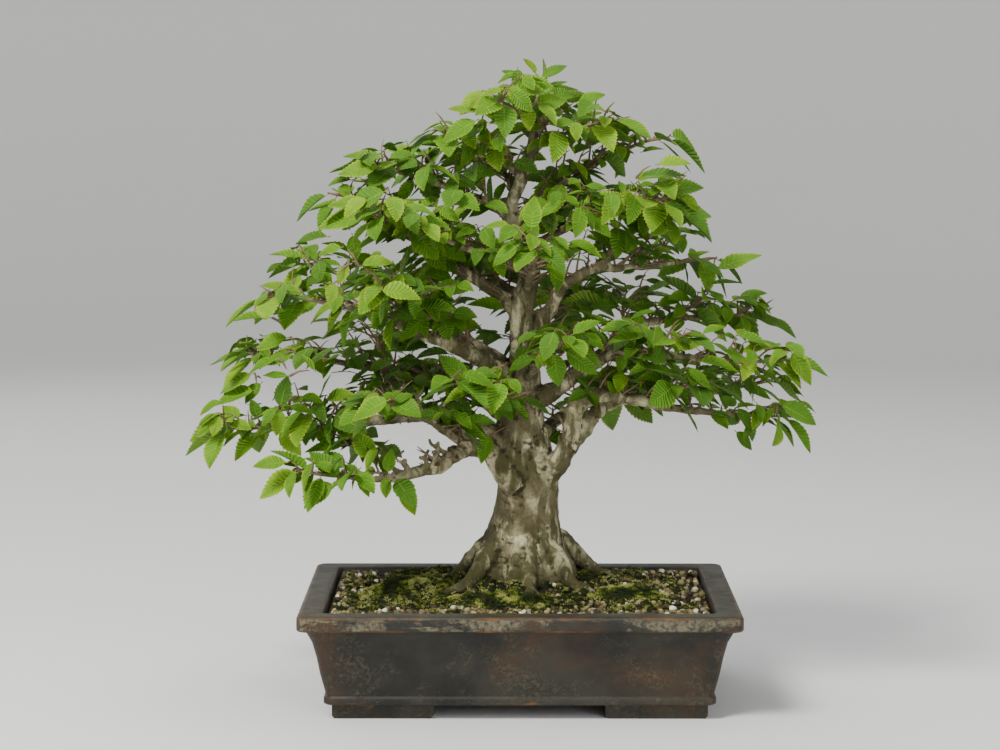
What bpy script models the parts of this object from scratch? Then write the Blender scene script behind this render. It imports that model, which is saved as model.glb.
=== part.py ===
"""Hornbeam bonsai, informal upright, in an unglazed rectangular pot.

Metres, +Z up, the front of the pot towards -Y. The origin is on the ground under the middle of
the whole tree and pot. The wood is one grown piece: trunk, surface roots and limbs. Each leafy
spray is a solid of its own that stands on a stub or on the end of a limb.
"""

import math
import random

import bpy
import numpy as np
from mathutils import Vector
from mathutils.bvhtree import BVHTree

# Every place below is given from the middle of the pot, which stands this far off the origin
POT_PLACE = (0.0165, -0.0435, 0.0)

# Pot: outside length and depth at the rim, height with its feet, and the wall and floor
POT_LENGTH = 0.380
POT_DEPTH = 0.270
POT_HEIGHT = 0.094
RIM_WIDTH = 0.022
FOOT_HEIGHT = 0.013
FLOOR_TOP = 0.0200
CORNER_RADIUS = 0.007

# The walls as (inset from the rim's edge, height), the outer one from the foot band up
OUTER_WALL = (
    (0.0235, FOOT_HEIGHT), (0.0215, 0.0145), (0.0215, 0.0190), (0.0235, 0.0208), (0.0220, 0.0270),
    (0.0188, 0.0400), (0.0160, 0.0550), (0.0125, 0.0690), (0.0070, 0.0800), (0.0015, 0.0805),
    (0.0000, 0.0822), (0.0000, 0.0922), (0.0018, POT_HEIGHT),
)
INNER_WALL = ((0.0205, POT_HEIGHT), (0.0225, 0.0925), (0.0300, 0.0450), (0.0345, FLOOR_TOP))
INNER_CORNER_RADIUS = 0.005

# Feet: L-shaped, one at each corner, drawn in a little at the ground and slanted at their ends
FOOT_INSET = 0.0285
FOOT_THICK = 0.017
FOOT_ALONG_FRONT = 0.088
FOOT_ALONG_SIDE = 0.062
FOOT_SLANT = 0.007
FOOT_DRAFT = 0.002
FOOT_CHAMFER = 0.004
FOOT_SUNK = 0.0015

# Drain holes, each with a square of mesh over it
DRAIN_RADIUS = 0.013
DRAIN_SIDES = 16
DRAIN_X = 0.085
MESH_SIDE = 0.036
MESH_THICK = 0.0014
MESH_HOLE = 0.0066
MESH_PITCH = 0.0092
MESH_HOLES = 3
GAP = 0.0003
CUT_OVER = 0.002

# Soil: its level at the wall, and the mound that it makes round the trunk
SOIL_EDGE = 0.0890
SOIL_INSET = RIM_WIDTH + 0.0028
SOIL_FLOOR_INSET = 0.0360
SOIL_CORNER = 0.0025
MOUND_HEIGHT = 0.0130
MOUND_SPREAD = (0.075, 0.055)
SOIL_COLUMNS = 14
SOIL_ROWS = 10
GRIT_RELIEF = 0.0032
GRIT_BEGINS = 0.085
GRIT_STRETCH = 1.35
TRUNK_X = 0.003
TRUNK_Y = 0.022
TRUNK_HOLE_RADIUS = 0.0466
TRUNK_HOLE_FLOOR = 0.0850
TRUNK_HOLE_TOP = 0.130
TRUNK_HOLE_SIDES = 20

# Moss cushions: name, middle, half length, half width, heading in degrees, height
MOSS = (
    ("moss_left", (-0.100, -0.005), 0.046, 0.034, 12.0, 0.0085),
    ("moss_front", (-0.020, -0.062), 0.058, 0.022, -4.0, 0.0070),
    ("moss_right", (0.098, -0.030), 0.036, 0.026, -12.0, 0.0065),
)
# A cushion's rings as (share of its half width, height over the soil, share of its own height)
MOSS_RINGS = ((1.0, -0.006, 0.0), (1.0, 0.0015, 0.0), (0.86, 0.0, 0.70), (0.45, 0.0, 1.0))
MOSS_SIDES = 10
MOSS_WAVE = 0.10
MOSS_LUMP = 0.0012
MOSS_GAP = 0.0004

# The trunk's line with its radius at each point, from the soil to the apex
TRUNK = (
    (0.003, 0.022, 0.0855, 0.0440), (0.003, 0.022, 0.1000, 0.0455), (0.003, 0.022, 0.1080, 0.0440),
    (0.003, 0.021, 0.1200, 0.0390), (0.003, 0.020, 0.1380, 0.0335), (0.006, 0.019, 0.1600, 0.0285),
    (0.008, 0.018, 0.1900, 0.0262), (0.005, 0.017, 0.2140, 0.0248), (0.001, 0.015, 0.2480, 0.0208),
    (0.004, 0.012, 0.2850, 0.0150), (0.003, 0.010, 0.3120, 0.0120), (0.002, 0.008, 0.3430, 0.0104),
    (0.010, 0.010, 0.3820, 0.0095), (0.005, 0.014, 0.4010, 0.0082), (-0.007, 0.016, 0.4210, 0.0076),
    (-0.008, 0.014, 0.4350, 0.0070), (0.006, 0.010, 0.4690, 0.0055), (0.011, 0.011, 0.4900, 0.0045),
    (0.013, 0.012, 0.5160, 0.0026),
)
TRUNK_SIDES = 12
FLARE_FADE = 0.030
FLARE_DEPTH = 0.16
FLARE_POWER = 8
FLARE_HOLLOW = 0.35

# The old scar over the first limbs: ring places ahead of and above its middle, and radii
SCAR_PLACE = (0.010, -0.006, 0.187)
SCAR_RINGS = ((0.010, 0.0, 0.0130), (-0.001, 0.0, 0.0130), (-0.0045, -0.001, 0.0078))
SCAR_SIDES = 8

# Surface roots: heading in degrees from +X, length, and radius where it leaves the trunk
ROOTS = (
    (22.0, 0.092, 0.0085), (-38.0, 0.072, 0.0095), (-84.0, 0.066, 0.0100), (-142.0, 0.082, 0.0095),
    (178.0, 0.078, 0.0080), (128.0, 0.076, 0.0080), (76.0, 0.066, 0.0085),
)
# A root's rings as (share of its length, height over the soil, share of its radius)
ROOT_RINGS = ((0.28, 0.034, 1.0), (0.55, 0.016, 0.95), (0.78, 0.0, 0.66), (1.0, 0.0, 0.34))
ROOT_SIDES = 5
ROOT_LIFT = 0.0009

# Limbs: name, route, first and last radius, tip spray's length, and side sprays as
# (share of the limb's length, turn in degrees seen from above, rise in degrees, length)
LIMBS = (
    ("right_low",
     ((0.018, 0.014, 0.192), (0.036, 0.004, 0.211), (0.044, -0.004, 0.229), (0.047, -0.008, 0.247),
      (0.052, -0.012, 0.261), (0.067, -0.016, 0.269), (0.088, -0.018, 0.268), (0.110, -0.016, 0.264),
      (0.135, -0.012, 0.258), (0.158, -0.010, 0.255), (0.174, -0.012, 0.254)),
     0.0118, 0.0026, 0.092, ((0.72, -58, 28, 0.078),)),
    ("right_low_back",
     ((0.042, -0.002, 0.223), (0.057, 0.006, 0.238), (0.070, 0.020, 0.252), (0.091, 0.038, 0.259),
      (0.119, 0.056, 0.260), (0.151, 0.072, 0.260), (0.176, 0.082, 0.262)),
     0.0085, 0.0024, 0.090, ((0.62, 58, 34, 0.078),)),
    ("right_mid",
     ((0.009, 0.012, 0.258), (0.030, 0.006, 0.272), (0.045, 0.004, 0.284), (0.059, 0.008, 0.295),
      (0.072, 0.014, 0.303), (0.085, 0.022, 0.313), (0.101, 0.032, 0.325), (0.122, 0.040, 0.331),
      (0.145, 0.046, 0.333), (0.164, 0.050, 0.333)),
     0.0092, 0.0024, 0.080, ((0.60, 62, 30, 0.074), (0.82, -50, 22, 0.066))),
    ("right_mid_front",
     ((0.052, 0.005, 0.289), (0.076, -0.008, 0.303), (0.099, -0.022, 0.308), (0.124, -0.036, 0.308),
      (0.151, -0.046, 0.306), (0.177, -0.052, 0.304), (0.190, -0.056, 0.304)),
     0.0062, 0.0022, 0.058, ((0.52, -58, 26, 0.074),)),
    ("right_high",
     ((0.006, 0.010, 0.307), (0.018, 0.008, 0.330), (0.029, 0.004, 0.350), (0.038, 0.000, 0.366),
      (0.051, -0.006, 0.374), (0.065, -0.012, 0.382), (0.076, -0.016, 0.391), (0.084, -0.020, 0.402),
      (0.097, -0.024, 0.412)),
     0.0090, 0.0023, 0.076, ()),
    ("right_high_out",
     ((0.069, -0.013, 0.384), (0.090, -0.002, 0.382), (0.110, 0.010, 0.382), (0.126, 0.018, 0.383),
      (0.138, 0.024, 0.384)),
     0.0046, 0.0021, 0.064, ((0.55, 62, 24, 0.066),)),
    ("right_upper",
     ((-0.004, 0.016, 0.421), (0.011, 0.022, 0.435), (0.023, 0.028, 0.443), (0.036, 0.032, 0.452),
      (0.050, 0.034, 0.460), (0.063, 0.034, 0.468), (0.075, 0.032, 0.476), (0.089, 0.030, 0.482)),
     0.0055, 0.0021, 0.070, ((0.66, -58, 38, 0.058),)),
    ("right_top",
     ((0.010, 0.010, 0.483), (0.022, 0.004, 0.491), (0.037, -0.002, 0.498), (0.050, -0.006, 0.503)),
     0.0036, 0.0018, 0.052, ()),
    ("right_upper_front",
     ((0.007, 0.012, 0.398), (0.027, -0.010, 0.410), (0.048, -0.034, 0.420), (0.069, -0.054, 0.429),
      (0.087, -0.064, 0.436)),
     0.0050, 0.0021, 0.072, ()),
    ("left_low",
     ((-0.007, 0.016, 0.202), (-0.026, 0.004, 0.217), (-0.042, -0.006, 0.222), (-0.057, -0.016, 0.216),
      (-0.070, -0.026, 0.208), (-0.087, -0.036, 0.204), (-0.108, -0.046, 0.202), (-0.132, -0.054, 0.201),
      (-0.152, -0.060, 0.204)),
     0.0102, 0.0024, 0.060, ((0.68, -54, 20, 0.070),)),
    ("left_low_front",
     ((-0.040, -0.005, 0.222), (-0.054, -0.016, 0.231), (-0.067, -0.026, 0.240), (-0.079, -0.038, 0.250),
      (-0.092, -0.050, 0.258)),
     0.0062, 0.0022, 0.074, ()),
    ("left_mid",
     ((-0.007, 0.014, 0.221), (-0.030, 0.010, 0.234), (-0.051, 0.008, 0.241), (-0.074, 0.008, 0.248),
      (-0.103, 0.012, 0.247), (-0.134, 0.016, 0.243), (-0.164, 0.020, 0.238), (-0.193, 0.022, 0.236),
      (-0.216, 0.024, 0.236)),
     0.0104, 0.0024, 0.072, ((0.50, -58, 30, 0.074), (0.68, 52, 16, 0.074))),
    ("left_upper",
     ((-0.003, 0.011, 0.275), (-0.021, 0.004, 0.292), (-0.038, -0.002, 0.302), (-0.057, -0.008, 0.313),
      (-0.079, -0.014, 0.321), (-0.101, -0.022, 0.331), (-0.124, -0.028, 0.341), (-0.148, -0.032, 0.348),
      (-0.166, -0.034, 0.352)),
     0.0098, 0.0024, 0.084, ((0.58, 54, 26, 0.074), (0.80, -50, 18, 0.066))),
    ("left_back",
     ((-0.003, 0.016, 0.260), (-0.025, 0.030, 0.268), (-0.048, 0.044, 0.271), (-0.076, 0.056, 0.276),
      (-0.107, 0.066, 0.280), (-0.140, 0.074, 0.286), (-0.171, 0.080, 0.291), (-0.201, 0.084, 0.293)),
     0.0092, 0.0024, 0.084, ((0.62, -56, 36, 0.078),)),
    ("left_twin",
     ((-0.001, 0.014, 0.277), (-0.017, 0.016, 0.296), (-0.032, 0.018, 0.306), (-0.050, 0.022, 0.315),
      (-0.071, 0.030, 0.328), (-0.095, 0.040, 0.341), (-0.119, 0.050, 0.353), (-0.144, 0.058, 0.364),
      (-0.160, 0.062, 0.370)),
     0.0080, 0.0023, 0.076, ((0.68, -58, 30, 0.070),)),
    ("left_high",
     ((0.001, 0.009, 0.336), (-0.012, 0.010, 0.352), (-0.030, 0.008, 0.365), (-0.049, 0.004, 0.377),
      (-0.069, 0.000, 0.388), (-0.084, -0.004, 0.400), (-0.102, -0.008, 0.412), (-0.119, -0.010, 0.425),
      (-0.132, -0.012, 0.434)),
     0.0066, 0.0022, 0.058, ((0.62, 54, 24, 0.068),)),
    ("left_high_front",
     ((0.007, 0.008, 0.377), (-0.013, -0.016, 0.387), (-0.033, -0.036, 0.396), (-0.053, -0.054, 0.405),
      (-0.073, -0.068, 0.414), (-0.088, -0.076, 0.420)),
     0.0054, 0.0021, 0.068, ()),
    ("left_crown",
     ((-0.008, 0.015, 0.426), (-0.023, 0.010, 0.435), (-0.040, 0.006, 0.442), (-0.060, 0.002, 0.450),
      (-0.079, -0.002, 0.458), (-0.098, -0.006, 0.463)),
     0.0050, 0.0020, 0.046, ((0.62, -54, 32, 0.058),)),
    ("left_top",
     ((0.002, 0.012, 0.461), (-0.010, 0.004, 0.472), (-0.026, -0.006, 0.483), (-0.042, -0.014, 0.491)),
     0.0042, 0.0019, 0.056, ()),
    ("top_front",
     ((0.013, 0.012, 0.500), (0.006, -0.004, 0.512), (-0.002, -0.016, 0.519)),
     0.0030, 0.0018, 0.044, ()),
    ("front_low",
     ((0.001, 0.008, 0.247), (-0.017, -0.030, 0.264), (-0.034, -0.062, 0.278), (-0.042, -0.076, 0.284)),
     0.0042, 0.0020, 0.056, ()),
    ("front_right",
     ((0.006, 0.006, 0.283), (0.018, -0.026, 0.298), (0.028, -0.056, 0.312), (0.032, -0.072, 0.318)),
     0.0042, 0.0020, 0.056, ()),
    ("front_mid",
     ((0.006, 0.006, 0.359), (0.009, -0.026, 0.374), (0.012, -0.054, 0.388), (0.014, -0.070, 0.396)),
     0.0042, 0.0020, 0.060, ()),
    ("front_left",
     ((-0.061, -0.009, 0.315), (-0.070, -0.034, 0.338), (-0.083, -0.058, 0.355), (-0.092, -0.074, 0.364)),
     0.0044, 0.0020, 0.064, ()),
    ("back_low_right",
     ((0.008, 0.024, 0.221), (0.023, 0.060, 0.230), (0.039, 0.092, 0.238), (0.057, 0.124, 0.243),
      (0.074, 0.148, 0.245)),
     0.0092, 0.0024, 0.078, ((0.68, -56, 28, 0.074),)),
    ("back_low_left",
     ((-0.001, 0.024, 0.234), (-0.018, 0.060, 0.244), (-0.034, 0.092, 0.252), (-0.053, 0.124, 0.258),
      (-0.070, 0.146, 0.260)),
     0.0088, 0.0024, 0.078, ((0.66, 56, 20, 0.074),)),
    ("back_mid",
     ((0.003, 0.014, 0.296), (0.010, 0.046, 0.309), (0.018, 0.076, 0.322), (0.026, 0.106, 0.332),
      (0.033, 0.130, 0.338)),
     0.0074, 0.0023, 0.076, ((0.60, -52, 34, 0.070),)),
    ("back_mid_left",
     ((0.001, 0.012, 0.348), (-0.012, 0.040, 0.360), (-0.027, 0.066, 0.371), (-0.043, 0.090, 0.380)),
     0.0058, 0.0022, 0.072, ((0.60, 54, 26, 0.062),)),
    ("back_high_right",
     ((0.003, 0.018, 0.403), (0.018, 0.044, 0.415), (0.034, 0.068, 0.425), (0.046, 0.086, 0.431)),
     0.0050, 0.0021, 0.068, ()),
    ("back_upper",
     ((-0.004, 0.016, 0.444), (-0.009, 0.036, 0.458), (-0.018, 0.056, 0.470)),
     0.0042, 0.0020, 0.058, ()),
    ("back_top",
     ((0.011, 0.013, 0.492), (0.018, 0.028, 0.502), (0.024, 0.040, 0.508)),
     0.0032, 0.0018, 0.046, ()),
)
APEX_SPRAY_LENGTH = 0.026
LIMB_RING_STEP = 0.037
LIMB_TAPER = 0.8
THICK_LIMB = 0.0065
CURVE_STEPS = 8

# A side spray stands on a stub, no thicker than this and than this share of its limb
STUB_LENGTH = 0.0065
STUB_RADIUS = 0.0021
STUB_SHARE = 0.62

# Twigs: each spray has an axis, and a long spray two forks off it
AXIS_SHARE = 0.60
AXIS_STEPS = 2
AXIS_BEND = 22
TIP_SLOPE = (-0.05, 0.30)
SIDE_SLOPE = (0.15, 0.80)
APEX_SLOPE = 1.4
TWIG_END_RADIUS = 0.0014
TWIG_SIDES = 3
TWIG_CLEAR = 0.0012
FORKED_LENGTH = 0.066
FORK_SHARES = (0.42, 0.68)
FORK_TURN = (42, 58)
FORK_REACH = (0.24, 0.32)
FORK_RADIUS = 0.0012
FORK_SLOPE = 0.2
# What a twig tries in turn: shares of its length, and (swing in degrees, lift)
TWIG_LENGTHS = (1.0, 0.8, 0.6, 0.4)
TWIG_TRIES = ((0, 0), (18, 0), (-18, 0), (0, 0.3), (0, -0.3), (36, 0.2), (-36, 0.2))

# Leaves: toothed outline as (share of the length, share of the full width on each side)
BLADE_OUTLINE = ((0.21, 0.40), (0.45, 0.50), (0.51, 0.39), (0.76, 0.29))
BLADE_LENGTH = (0.035, 0.048)
APEX_BLADE = 0.68
BLADE_WIDTH = 0.56
BLADE_THICK = 0.0008
BLADE_ARCH = 0.16
PETIOLE_WIDTH = 0.0010
LEAF_SPACING = 0.0168
FEWEST_LEAVES = 3
LEAF_SHARES = (0.80, 0.50, 0.66, 0.30, 0.90, 0.40, 0.58)
LEAF_TURN = 55
LEAF_SWING = 12
LEAF_DROOP = (10, 50)
LEAF_ROLL = 25
CLEAR_THICK = 0.0030
CLEAR_SIDE = 0.0010
CROWN_MIDDLE = (0.0, 0.012, 0.250)
OUTWARD_LEAN = 1.05
TWIG_PULL = 0.8
# What a leaf tries in turn: shares of its length, and (swing, droop, roll) in degrees
LEAF_LENGTHS = (1.0, 0.84)
LEAF_TRIES = (
    (0, 0, 0), (0, 18, 0), (0, -18, 0), (20, 0, 15), (-20, 0, -15), (35, 20, 0), (-35, 20, 0),
    (25, -30, 25), (-25, -30, -25),
)

# Edges flatter than this many degrees are shaded round
SMOOTH_UNDER = 40

# Each finish as (colour, roughness)
COLOURS = {
    "pot": ((0.085, 0.082, 0.072), 0.62),
    "drain_mesh": ((0.03, 0.03, 0.03), 0.6),
    "soil": ((0.17, 0.13, 0.08), 0.95),
    "moss": ((0.13, 0.19, 0.03), 0.95),
    "bark": ((0.36, 0.34, 0.27), 0.85),
    "leaf": ((0.15, 0.34, 0.05), 0.45),
}


def clear_scene():
    """Takes out whatever the file holds."""
    for obj in list(bpy.data.objects):
        bpy.data.objects.remove(obj)


def material(name):
    """The material of that name, made the first time that it is asked for."""
    found = bpy.data.materials.get(name)
    if found:
        return found
    colour, roughness = COLOURS[name]
    made = bpy.data.materials.new(name)
    made.use_nodes = True
    shader = made.node_tree.nodes["Principled BSDF"]
    shader.inputs["Base Color"].default_value = (*colour, 1.0)
    shader.inputs["Roughness"].default_value = roughness
    return made


def mesh_object(name, points, faces, finish):
    """An object of its own from points and faces."""
    mesh = bpy.data.meshes.new(name)
    mesh.from_pydata([tuple(map(float, p)) for p in points], [], faces)
    mesh.validate()
    mesh.materials.append(material(finish))
    obj = bpy.data.objects.new(name, mesh)
    bpy.context.scene.collection.objects.link(obj)
    return obj


def boolean(obj, others, operation, solver):
    """Joins others to obj, or cuts them from it, and takes them out of the scene."""
    group = bpy.data.collections.new("operands")
    bpy.context.scene.collection.children.link(group)
    for other in others:
        group.objects.link(other)
    modifier = obj.modifiers.new("boolean", "BOOLEAN")
    modifier.operand_type = "COLLECTION"
    modifier.collection = group
    modifier.operation = operation
    modifier.solver = solver
    graph = bpy.context.evaluated_depsgraph_get()
    result = bpy.data.meshes.new_from_object(obj.evaluated_get(graph), depsgraph=graph)
    obj.modifiers.clear()
    obj.data = result
    for other in others:
        bpy.data.objects.remove(other)
    bpy.data.collections.remove(group)
    return obj


def shade(obj):
    """Shades the solid round, with its sharp edges left crisp."""
    obj.data.shade_smooth()
    obj.data.set_sharp_from_angle(angle=math.radians(SMOOTH_UNDER))


def unit(vector):
    """The vector at length one."""
    return vector / np.linalg.norm(vector)


def turned(vector, axis, degrees):
    """The vector turned about an axis of length one, by the right-hand rule."""
    angle = math.radians(degrees)
    return (vector * math.cos(angle) + np.cross(axis, vector) * math.sin(angle)
            + axis * (axis @ vector) * (1 - math.cos(angle)))


def smooth_line(points):
    """A close polyline on a Catmull-Rom curve through the points."""
    given = np.array(points, float)
    ends = np.vstack([2 * given[0] - given[1], given, 2 * given[-1] - given[-2]])
    line = [given[0]]
    for i in range(len(given) - 1):
        a, b, c, d = ends[i:i + 4]
        for step in range(1, CURVE_STEPS + 1):
            t = step / CURVE_STEPS
            line.append(0.5 * (2 * b + (c - a) * t + (2 * a - 5 * b + 4 * c - d) * t ** 2
                               + (3 * b - a - 3 * c + d) * t ** 3))
    return np.array(line)


def along(line, share):
    """Point and heading at a share of the line's length."""
    steps = np.linalg.norm(np.diff(line, axis=0), axis=1)
    reach = np.concatenate([[0.0], np.cumsum(steps)])
    want = share * reach[-1]
    i = int(np.clip(np.searchsorted(reach, want, side="right") - 1, 0, len(steps) - 1))
    point = line[i] + (line[i + 1] - line[i]) * (want - reach[i]) / steps[i]
    return point, unit(line[i + 1] - line[i])


def tube(line, radii, sides):
    """Points and faces of a closed tube along a line, its rings kept from twisting."""
    points, faces = [], []
    heading = unit(line[1] - line[0])
    across = unit(np.cross(heading, (0.31, 0.17, 0.94) if abs(heading[2]) < 0.9 else (1.0, 0.2, 0.0)))
    for i, centre in enumerate(line):
        ahead = line[min(i + 1, len(line) - 1)] - line[max(i - 1, 0)]
        heading = unit(ahead)
        across = unit(across - heading * (across @ heading))
        beside = np.cross(heading, across)
        for k in range(sides):
            angle = 2 * math.pi * k / sides
            points.append(centre + radii[i] * (across * math.cos(angle) + beside * math.sin(angle)))
    for i in range(len(line) - 1):
        for k in range(sides):
            a, b = i * sides + k, i * sides + (k + 1) % sides
            faces.append((a, b, b + sides, a + sides))
    faces.append(tuple(reversed(range(sides))))
    faces.append(tuple(range((len(line) - 1) * sides, len(line) * sides)))
    return points, faces


def limb_radius(limb, share):
    """The limb's radius at a share of its length."""
    return limb[2] + (limb[3] - limb[2]) * share ** LIMB_TAPER


def limb_rings(limb):
    """The centres and radii of the limb's rings, a few centimetres apart."""
    line = smooth_line(limb[1])
    reach = np.linalg.norm(np.diff(line, axis=0), axis=1).sum()
    shares = np.linspace(0.0, 1.0, max(4, round(reach / LIMB_RING_STEP) + 1))
    return np.array([along(line, share)[0] for share in shares]), [limb_radius(limb, s) for s in shares]


def spray_starts():
    """Each spray as (name, start, heading, length, radius, own limb), stubs as (line, radius)."""
    sprays, stubs = [], []
    for limb in LIMBS:
        name, _, _, last, tip_length, sides = limb
        rings = limb_rings(limb)[0]
        end, heading = rings[-1], unit(rings[-1] - rings[-2])
        sprays.append((name + "_tip", end + heading * GAP, heading, tip_length, last, name))
        for number, (share, turn, rise, length) in enumerate(sides, 1):
            centre, heading = along(rings, share)
            out = unit(turned(np.array([heading[0], heading[1], 0.0]), np.array([0, 0, 1.0]), turn))
            out = unit(out + np.array([0.0, 0.0, math.tan(math.radians(rise))]))
            reach = limb_radius(limb, share) + STUB_LENGTH
            radius = min(STUB_RADIUS, STUB_SHARE * limb_radius(limb, share))
            stubs.append((np.array([centre, centre + out * reach]), radius))
            start = centre + out * (reach + GAP)
            sprays.append((f"{name}_side_{number}", start, out, length, radius, None))
    top = np.array(TRUNK[-1][:3])
    heading = unit(top - np.array(TRUNK[-2][:3]))
    sprays.append(("apex", top + heading * GAP, heading, APEX_SPRAY_LENGTH, TRUNK[-1][3], "trunk"))
    return sprays, stubs


class Thicket:
    """Everything woody or leafy that a new twig or leaf has to stay clear of."""

    def __init__(self):
        self.lines = []
        self.solids = []

    def add_line(self, line, radii, owner):
        """Adds a tapered wooden line."""
        for i in range(len(line) - 1):
            self.lines.append((line[i], line[i + 1], max(radii[i], radii[i + 1]), owner))
        self.add_solid(*tube(line, np.array(radii) + TWIG_CLEAR, 6), owner)

    def add_solid(self, points, faces, owner):
        """Adds a closed shape with the box that it fills."""
        tree = BVHTree.FromPolygons([Vector(p) for p in points], faces)
        self.solids.append((np.min(points, axis=0), np.max(points, axis=0), tree, owner))

    def room(self, points, skip=()):
        """The least distance from the points to any wooden line that isn't skipped."""
        kept = [line for line in self.lines if line[3] not in skip]
        a, b, r = (np.array([line[k] for line in kept]) for k in range(3))
        way = b - a
        p = np.array(points)[:, None, :]
        t = ((p - a) * way).sum(-1) / np.maximum((way ** 2).sum(-1), 1e-12)
        nearest = a + np.clip(t, 0.0, 1.0)[..., None] * way
        return float((np.linalg.norm(p - nearest, axis=-1) - r).min())

    def crosses(self, points, faces, skip=()):
        """True if the shape crosses one that is already there and isn't skipped."""
        low, high = np.min(points, axis=0), np.max(points, axis=0)
        tree = None
        for other_low, other_high, other, owner in self.solids:
            if owner in skip or (low > other_high).any() or (high < other_low).any():
                continue
            tree = tree or BVHTree.FromPolygons([Vector(p) for p in points], faces)
            if tree.overlap(other):
                return True
        return False


def blade_rows(leaf):
    """The blade's stations as (middle point, half width), from the petiole to the tip."""
    start, heading, normal, length, width = leaf
    rows = [(0.0, PETIOLE_WIDTH / 2)]
    rows += [(s, w * width) for s, w in BLADE_OUTLINE]
    rows.append((1.0, 0.0))
    return [(start + heading * (s * length) - normal * (BLADE_ARCH * length * s * s), w) for s, w in rows]


def blade_solid(leaf, thick, side):
    """Points and faces of a blade of that thickness, widened on each side."""
    _, heading, normal, _, _ = leaf
    across = np.cross(normal, heading)
    rows = blade_rows(leaf)
    tip = len(rows) - 1
    points = []
    for lift in (thick / 2, -thick / 2):
        for middle, half in rows[:-1]:
            points.append(middle + across * (half + side) + normal * lift)
            points.append(middle - across * (half + side) + normal * lift)
        points.append(rows[tip][0] + heading * side + normal * lift)
    low = 2 * tip + 1
    faces = []
    for i in range(tip - 1):
        left, right = 2 * i, 2 * i + 1
        faces.append((left, right, right + 2, left + 2))
        faces.append((low + left + 2, low + right + 2, low + right, low + left))
    last = 2 * tip
    faces.append((last - 2, last - 1, last))
    faces.append((low + last, low + last - 1, low + last - 2))
    border = [2 * i for i in range(tip)] + [last] + [2 * i + 1 for i in reversed(range(tip))]
    for a, b in zip(border, border[1:] + border[:1]):
        faces.append((a, b, low + b, low + a))
    return points, faces


def leaf_frame(place, twig_heading, turn, droop, roll):
    """Heading and normal of a leaf that leaves a twig at a turn, hangs down and rolls."""
    outward = place - np.array(CROWN_MIDDLE)
    outward[2] = 0.0
    outward = unit(outward + np.array([1e-6, 0.0, 0.0]))
    up = np.array([0.0, 0.0, 1.0]) + OUTWARD_LEAN * outward
    up = unit(up - twig_heading * (up @ twig_heading) * TWIG_PULL)
    heading = unit(turned(twig_heading, up, turn))
    normal = unit(up - heading * (up @ heading))
    across = np.cross(normal, heading)
    heading, normal = turned(heading, across, droop), turned(normal, across, droop)
    return heading, turned(normal, heading, roll)


def twig_line(start, heading, length, slope, bend, steps):
    """A twig that leaves along its heading and bends sideways and towards a slope."""
    line = [start]
    flat = unit(np.array([heading[0], heading[1], 1e-9]))
    wanted = unit(flat + np.array([0.0, 0.0, slope]))
    for i in range(steps):
        share = (i + 0.5) / steps
        way = unit(heading * (1 - share) + wanted * share)
        way = turned(way, np.array([0.0, 0.0, 1.0]), bend * share)
        line.append(line[-1] + way * (length / steps))
    return np.array(line)


def free_twig(thicket, start, heading, length, slope, bend, steps, radius, skip):
    """The first of a few tries at a twig that comes clear of all other wood, or None."""
    up = np.array([0.0, 0.0, 1.0])
    lead = [start] if steps > 1 else []
    if lead:
        start = start + heading * 1.5 * radius
    for shorter in TWIG_LENGTHS:
        for swing, lift in TWIG_TRIES:
            way = unit(turned(heading, up, swing) + up * lift)
            line = np.array(lead + list(twig_line(start, way, length * shorter, slope, bend, steps)))
            probes = list(line[1:]) + [(a + b) / 2 for a, b in zip(line[:-1], line[1:])]
            if thicket.room(probes, skip) < radius + TWIG_CLEAR:
                continue
            if not thicket.crosses(*tube(line, np.full(len(line), radius), 4), skip):
                return line
    return None


def grow_twigs(thicket, spray):
    """The spray's twigs as (line, radii, sides): its axis, and two side twigs on a long one."""
    name, start, heading, length, radius, limb = spray
    draw = random.Random(name)
    slope = draw.uniform(*TIP_SLOPE) if limb else draw.uniform(*SIDE_SLOPE)
    slope = APEX_SLOPE if name == "apex" else slope
    bend = draw.uniform(-AXIS_BEND, AXIS_BEND)
    own = [name, limb] + [(name, k) for k in range(1 + len(FORK_SHARES))]
    axis = free_twig(thicket, start, heading, length * AXIS_SHARE, slope, bend, AXIS_STEPS, radius, own)
    twigs = [(axis, np.linspace(radius, TWIG_END_RADIUS, len(axis)), TWIG_SIDES)]
    thicket.add_line(axis, twigs[0][1], (name, 0))
    side = draw.choice((-1, 1))
    for share in FORK_SHARES:
        place, way = along(axis, share)
        turn = side * draw.uniform(*FORK_TURN)
        out = turned(way, np.array([0.0, 0.0, 1.0]), turn)
        reach = length * draw.uniform(*FORK_REACH)
        line = free_twig(thicket, place, out, reach, FORK_SLOPE, 0.0, 1, FORK_RADIUS, own)
        if line is not None and length > FORKED_LENGTH:
            twigs.append((line, np.full(2, FORK_RADIUS), TWIG_SIDES))
            thicket.add_line(line, twigs[-1][1], (name, len(twigs) - 1))
        side = -side
    return twigs


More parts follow.
